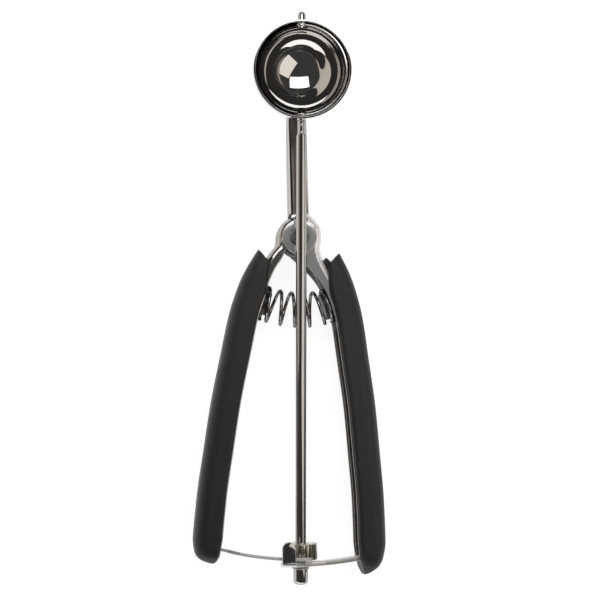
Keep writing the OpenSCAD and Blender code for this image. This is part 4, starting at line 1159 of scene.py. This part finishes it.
class SCOOP_OT_stage(ScoopOperator):
    """Pale floor, soft studio light, surroundings for the steel to mirror, and the camera"""
    bl_idname = "scoop.stage"
    bl_label = "Stage"

    def execute(self, context):
        self.floor(context)
        self.surroundings(context)
        self.lamps(context)
        self.camera(context)
        context.scene.view_settings.view_transform = "Standard"
        return {"FINISHED"}

    def floor(self, context):
        """Diffuse floor just under the scoop, which the camera, mirrors and glass see as white."""
        corners = [(-3, -3, -0.0002), (3, -3, -0.0002), (3, 3, -0.0002), (-3, 3, -0.0002)]
        mesh = bpy.data.meshes.new("pale_floor")
        mesh.from_pydata(corners, [], [(0, 1, 2, 3)])
        mat = bpy.data.materials.new("pale_floor")
        mat.use_nodes = True
        tree = mat.node_tree
        tree.nodes.clear()
        path = node(tree, "ShaderNodeLightPath")
        seen = maths(tree, "MAXIMUM", (path, "Is Camera Ray"), (path, "Is Glossy Ray"))
        seen = maths(tree, "MAXIMUM", seen, (path, "Is Transmission Ray"))
        tint = (*context.scene.scoop_colours.floor, 1)
        plain = node(tree, "ShaderNodeBsdfDiffuse", {"Color": tint})
        faint = node(tree, "ShaderNodeBsdfDiffuse", {"Color": (0.3, 0.3, 0.3, 1)})
        glow = node(tree, "ShaderNodeEmission", {"Color": (1, 1, 1, 1), "Strength": 0.86})
        white = node(tree, "ShaderNodeAddShader", {0: (faint, 0), 1: (glow, 0)})
        mix = node(tree, "ShaderNodeMixShader", {0: seen, 1: (plain, 0), 2: (white, 0)})
        node(tree, "ShaderNodeOutputMaterial", {"Surface": (mix, 0)})
        mesh.materials.append(mat)
        obj = bpy.data.objects.new("pale_floor", mesh)
        context.scene.collection.objects.link(obj)

    def surroundings(self, context):
        """World: a dark studio whose light rises towards the horizon, as the steel mirrors it, and
        an even soft fill for everything that isn't a mirror."""
        world = bpy.data.worlds.new("studio")
        world.use_nodes = True
        context.scene.world = world
        tree = world.node_tree
        tree.nodes.clear()
        way = node(tree, "ShaderNodeTexCoord")
        axes = node(tree, "ShaderNodeSeparateXYZ", {0: (way, "Generated")})
        up = node(tree, "ShaderNodeValToRGB", {"Fac": (axes, "Z")})
        stops = [(0.0, 0.9), (0.08, 0.55), (0.22, 0.12), (0.5, 0.055), (0.8, 0.06), (1.0, 0.05)]
        marks = up.color_ramp.elements
        for mark, (height, value) in zip([marks[0], marks[1]], [stops[0], stops[-1]]):
            mark.position, mark.color = height, (value, value, value, 1)
        for height, value in stops[1:-1]:
            marks.new(height).color = (value, value, value, 1)
        path = node(tree, "ShaderNodeLightPath")
        mirror = node(tree, "ShaderNodeBackground", {"Color": (up, "Color"), "Strength": 1.0})
        fill = node(tree, "ShaderNodeBackground", {"Color": (1, 1, 1, 1), "Strength": 0.42})
        white = node(tree, "ShaderNodeBackground", {"Color": (1, 1, 1, 1), "Strength": 1.0})
        lit = node(tree, "ShaderNodeMixShader",
                   {0: (path, "Is Glossy Ray"), 1: (fill, 0), 2: (mirror, 0)})
        mix = node(tree, "ShaderNodeMixShader",
                   {0: (path, "Is Camera Ray"), 1: (lit, 0), 2: (white, 0)})
        node(tree, "ShaderNodeOutputWorld", {"Surface": (mix, 0)})

    def lamps(self, context):
        """Soft boxes: name, direction from the bowl, distance, width and height over the distance,
        turn, radiance, colour. Watts = pi * area * radiance."""
        plain, warm, warmer = (1.0, 1.0, 1.0), (1.0, 0.93, 0.87), (1.0, 0.88, 0.78)
        boxes = [
            ("right_soft_box", (0.586, -0.36, 0.726), 0.26, 0.889, 0.864, 2.5, 1.1, warm),
            ("head_soft_box", (-0.01, 0.33, 0.95), 0.38, 0.86, 0.52, 0, 2.6, plain),
            ("left_soft_box", (-0.937, -0.08, 0.34), 0.17, 1.3, 0.58, 0, 0.55, warmer),
            ("foot_strip", (-0.2, -0.96, 0.18), 1.0, 1.7, 0.34, 0, 1.9, plain),
            ("end_strip", (0.12, 0.96, 0.25), 1.0, 1.9, 0.07, 0, 1.9, plain),
        ]
        bowl = Vector(placed(at_bowl(np.zeros(3))))
        for name, way, far, wide, high, turn, radiance, tint in boxes:
            lamp = bpy.data.lights.new(name, "AREA")
            lamp.shape, lamp.color = "RECTANGLE", tint
            lamp.size, lamp.size_y = wide * far, high * far
            lamp.energy = math.pi * lamp.size * lamp.size_y * radiance
            obj = bpy.data.objects.new(name, lamp)
            way = Vector(way).normalized()
            obj.location = bowl + way * far
            spin = Quaternion((0, 0, 1), math.radians(turn))
            obj.rotation_euler = (way.to_track_quat("Z", "Y") @ spin).to_euler()
            obj.visible_camera = False
            context.scene.collection.objects.link(obj)

    def camera(self, context):
        """Camera in front of the scoop, a little to the left of its middle, and nearly upright."""
        cam = bpy.data.cameras.new("front_camera")
        cam.lens, cam.sensor_width = 110.0, 36.0
        obj = bpy.data.objects.new("front_camera", cam)
        obj.location = (-0.07491, -0.06435, 0.69673)
        obj.rotation_euler = (0.09379, -0.11472, -0.00894)
        context.scene.collection.objects.link(obj)
        context.scene.camera = obj


class SCOOP_PT_panel(bpy.types.Panel):
    """Lists the scoop's pieces, sizes and colours"""
    bl_idname = "SCOOP_PT_panel"
    bl_label = "Ice cream scoop"
    bl_space_type = "VIEW_3D"
    bl_region_type = "UI"
    bl_category = "Scoop"

    def draw(self, context):
        column = self.layout.column(align=True)
        for operator in OPERATORS:
            column.operator(operator.bl_idname)
        for settings in (context.scene.scoop_sizes, context.scene.scoop_colours):
            box = self.layout.box()
            for key in settings.__annotations__:
                box.prop(settings, key)


OPERATORS = [SCOOP_OT_grips, SCOOP_OT_levers, SCOOP_OT_bowl, SCOOP_OT_scraper, SCOOP_OT_pivot,
             SCOOP_OT_spring, SCOOP_OT_gearwork, SCOOP_OT_stage]
CLASSES = [ScoopSizes, ScoopColours] + OPERATORS + [SCOOP_PT_panel]


def register():
    for cls in CLASSES:
        bpy.utils.register_class(cls)
    bpy.types.Scene.scoop_sizes = PointerProperty(type=ScoopSizes)
    bpy.types.Scene.scoop_colours = PointerProperty(type=ScoopColours)


def unregister():
    del bpy.types.Scene.scoop_sizes
    del bpy.types.Scene.scoop_colours
    for cls in reversed(CLASSES):
        bpy.utils.unregister_class(cls)


def main():
    register()
    for operator in OPERATORS:
        getattr(bpy.ops.scoop, operator.bl_idname.split(".")[1])()
    bpy.context.view_layer.update()


if __name__ == "__main__":
    main()
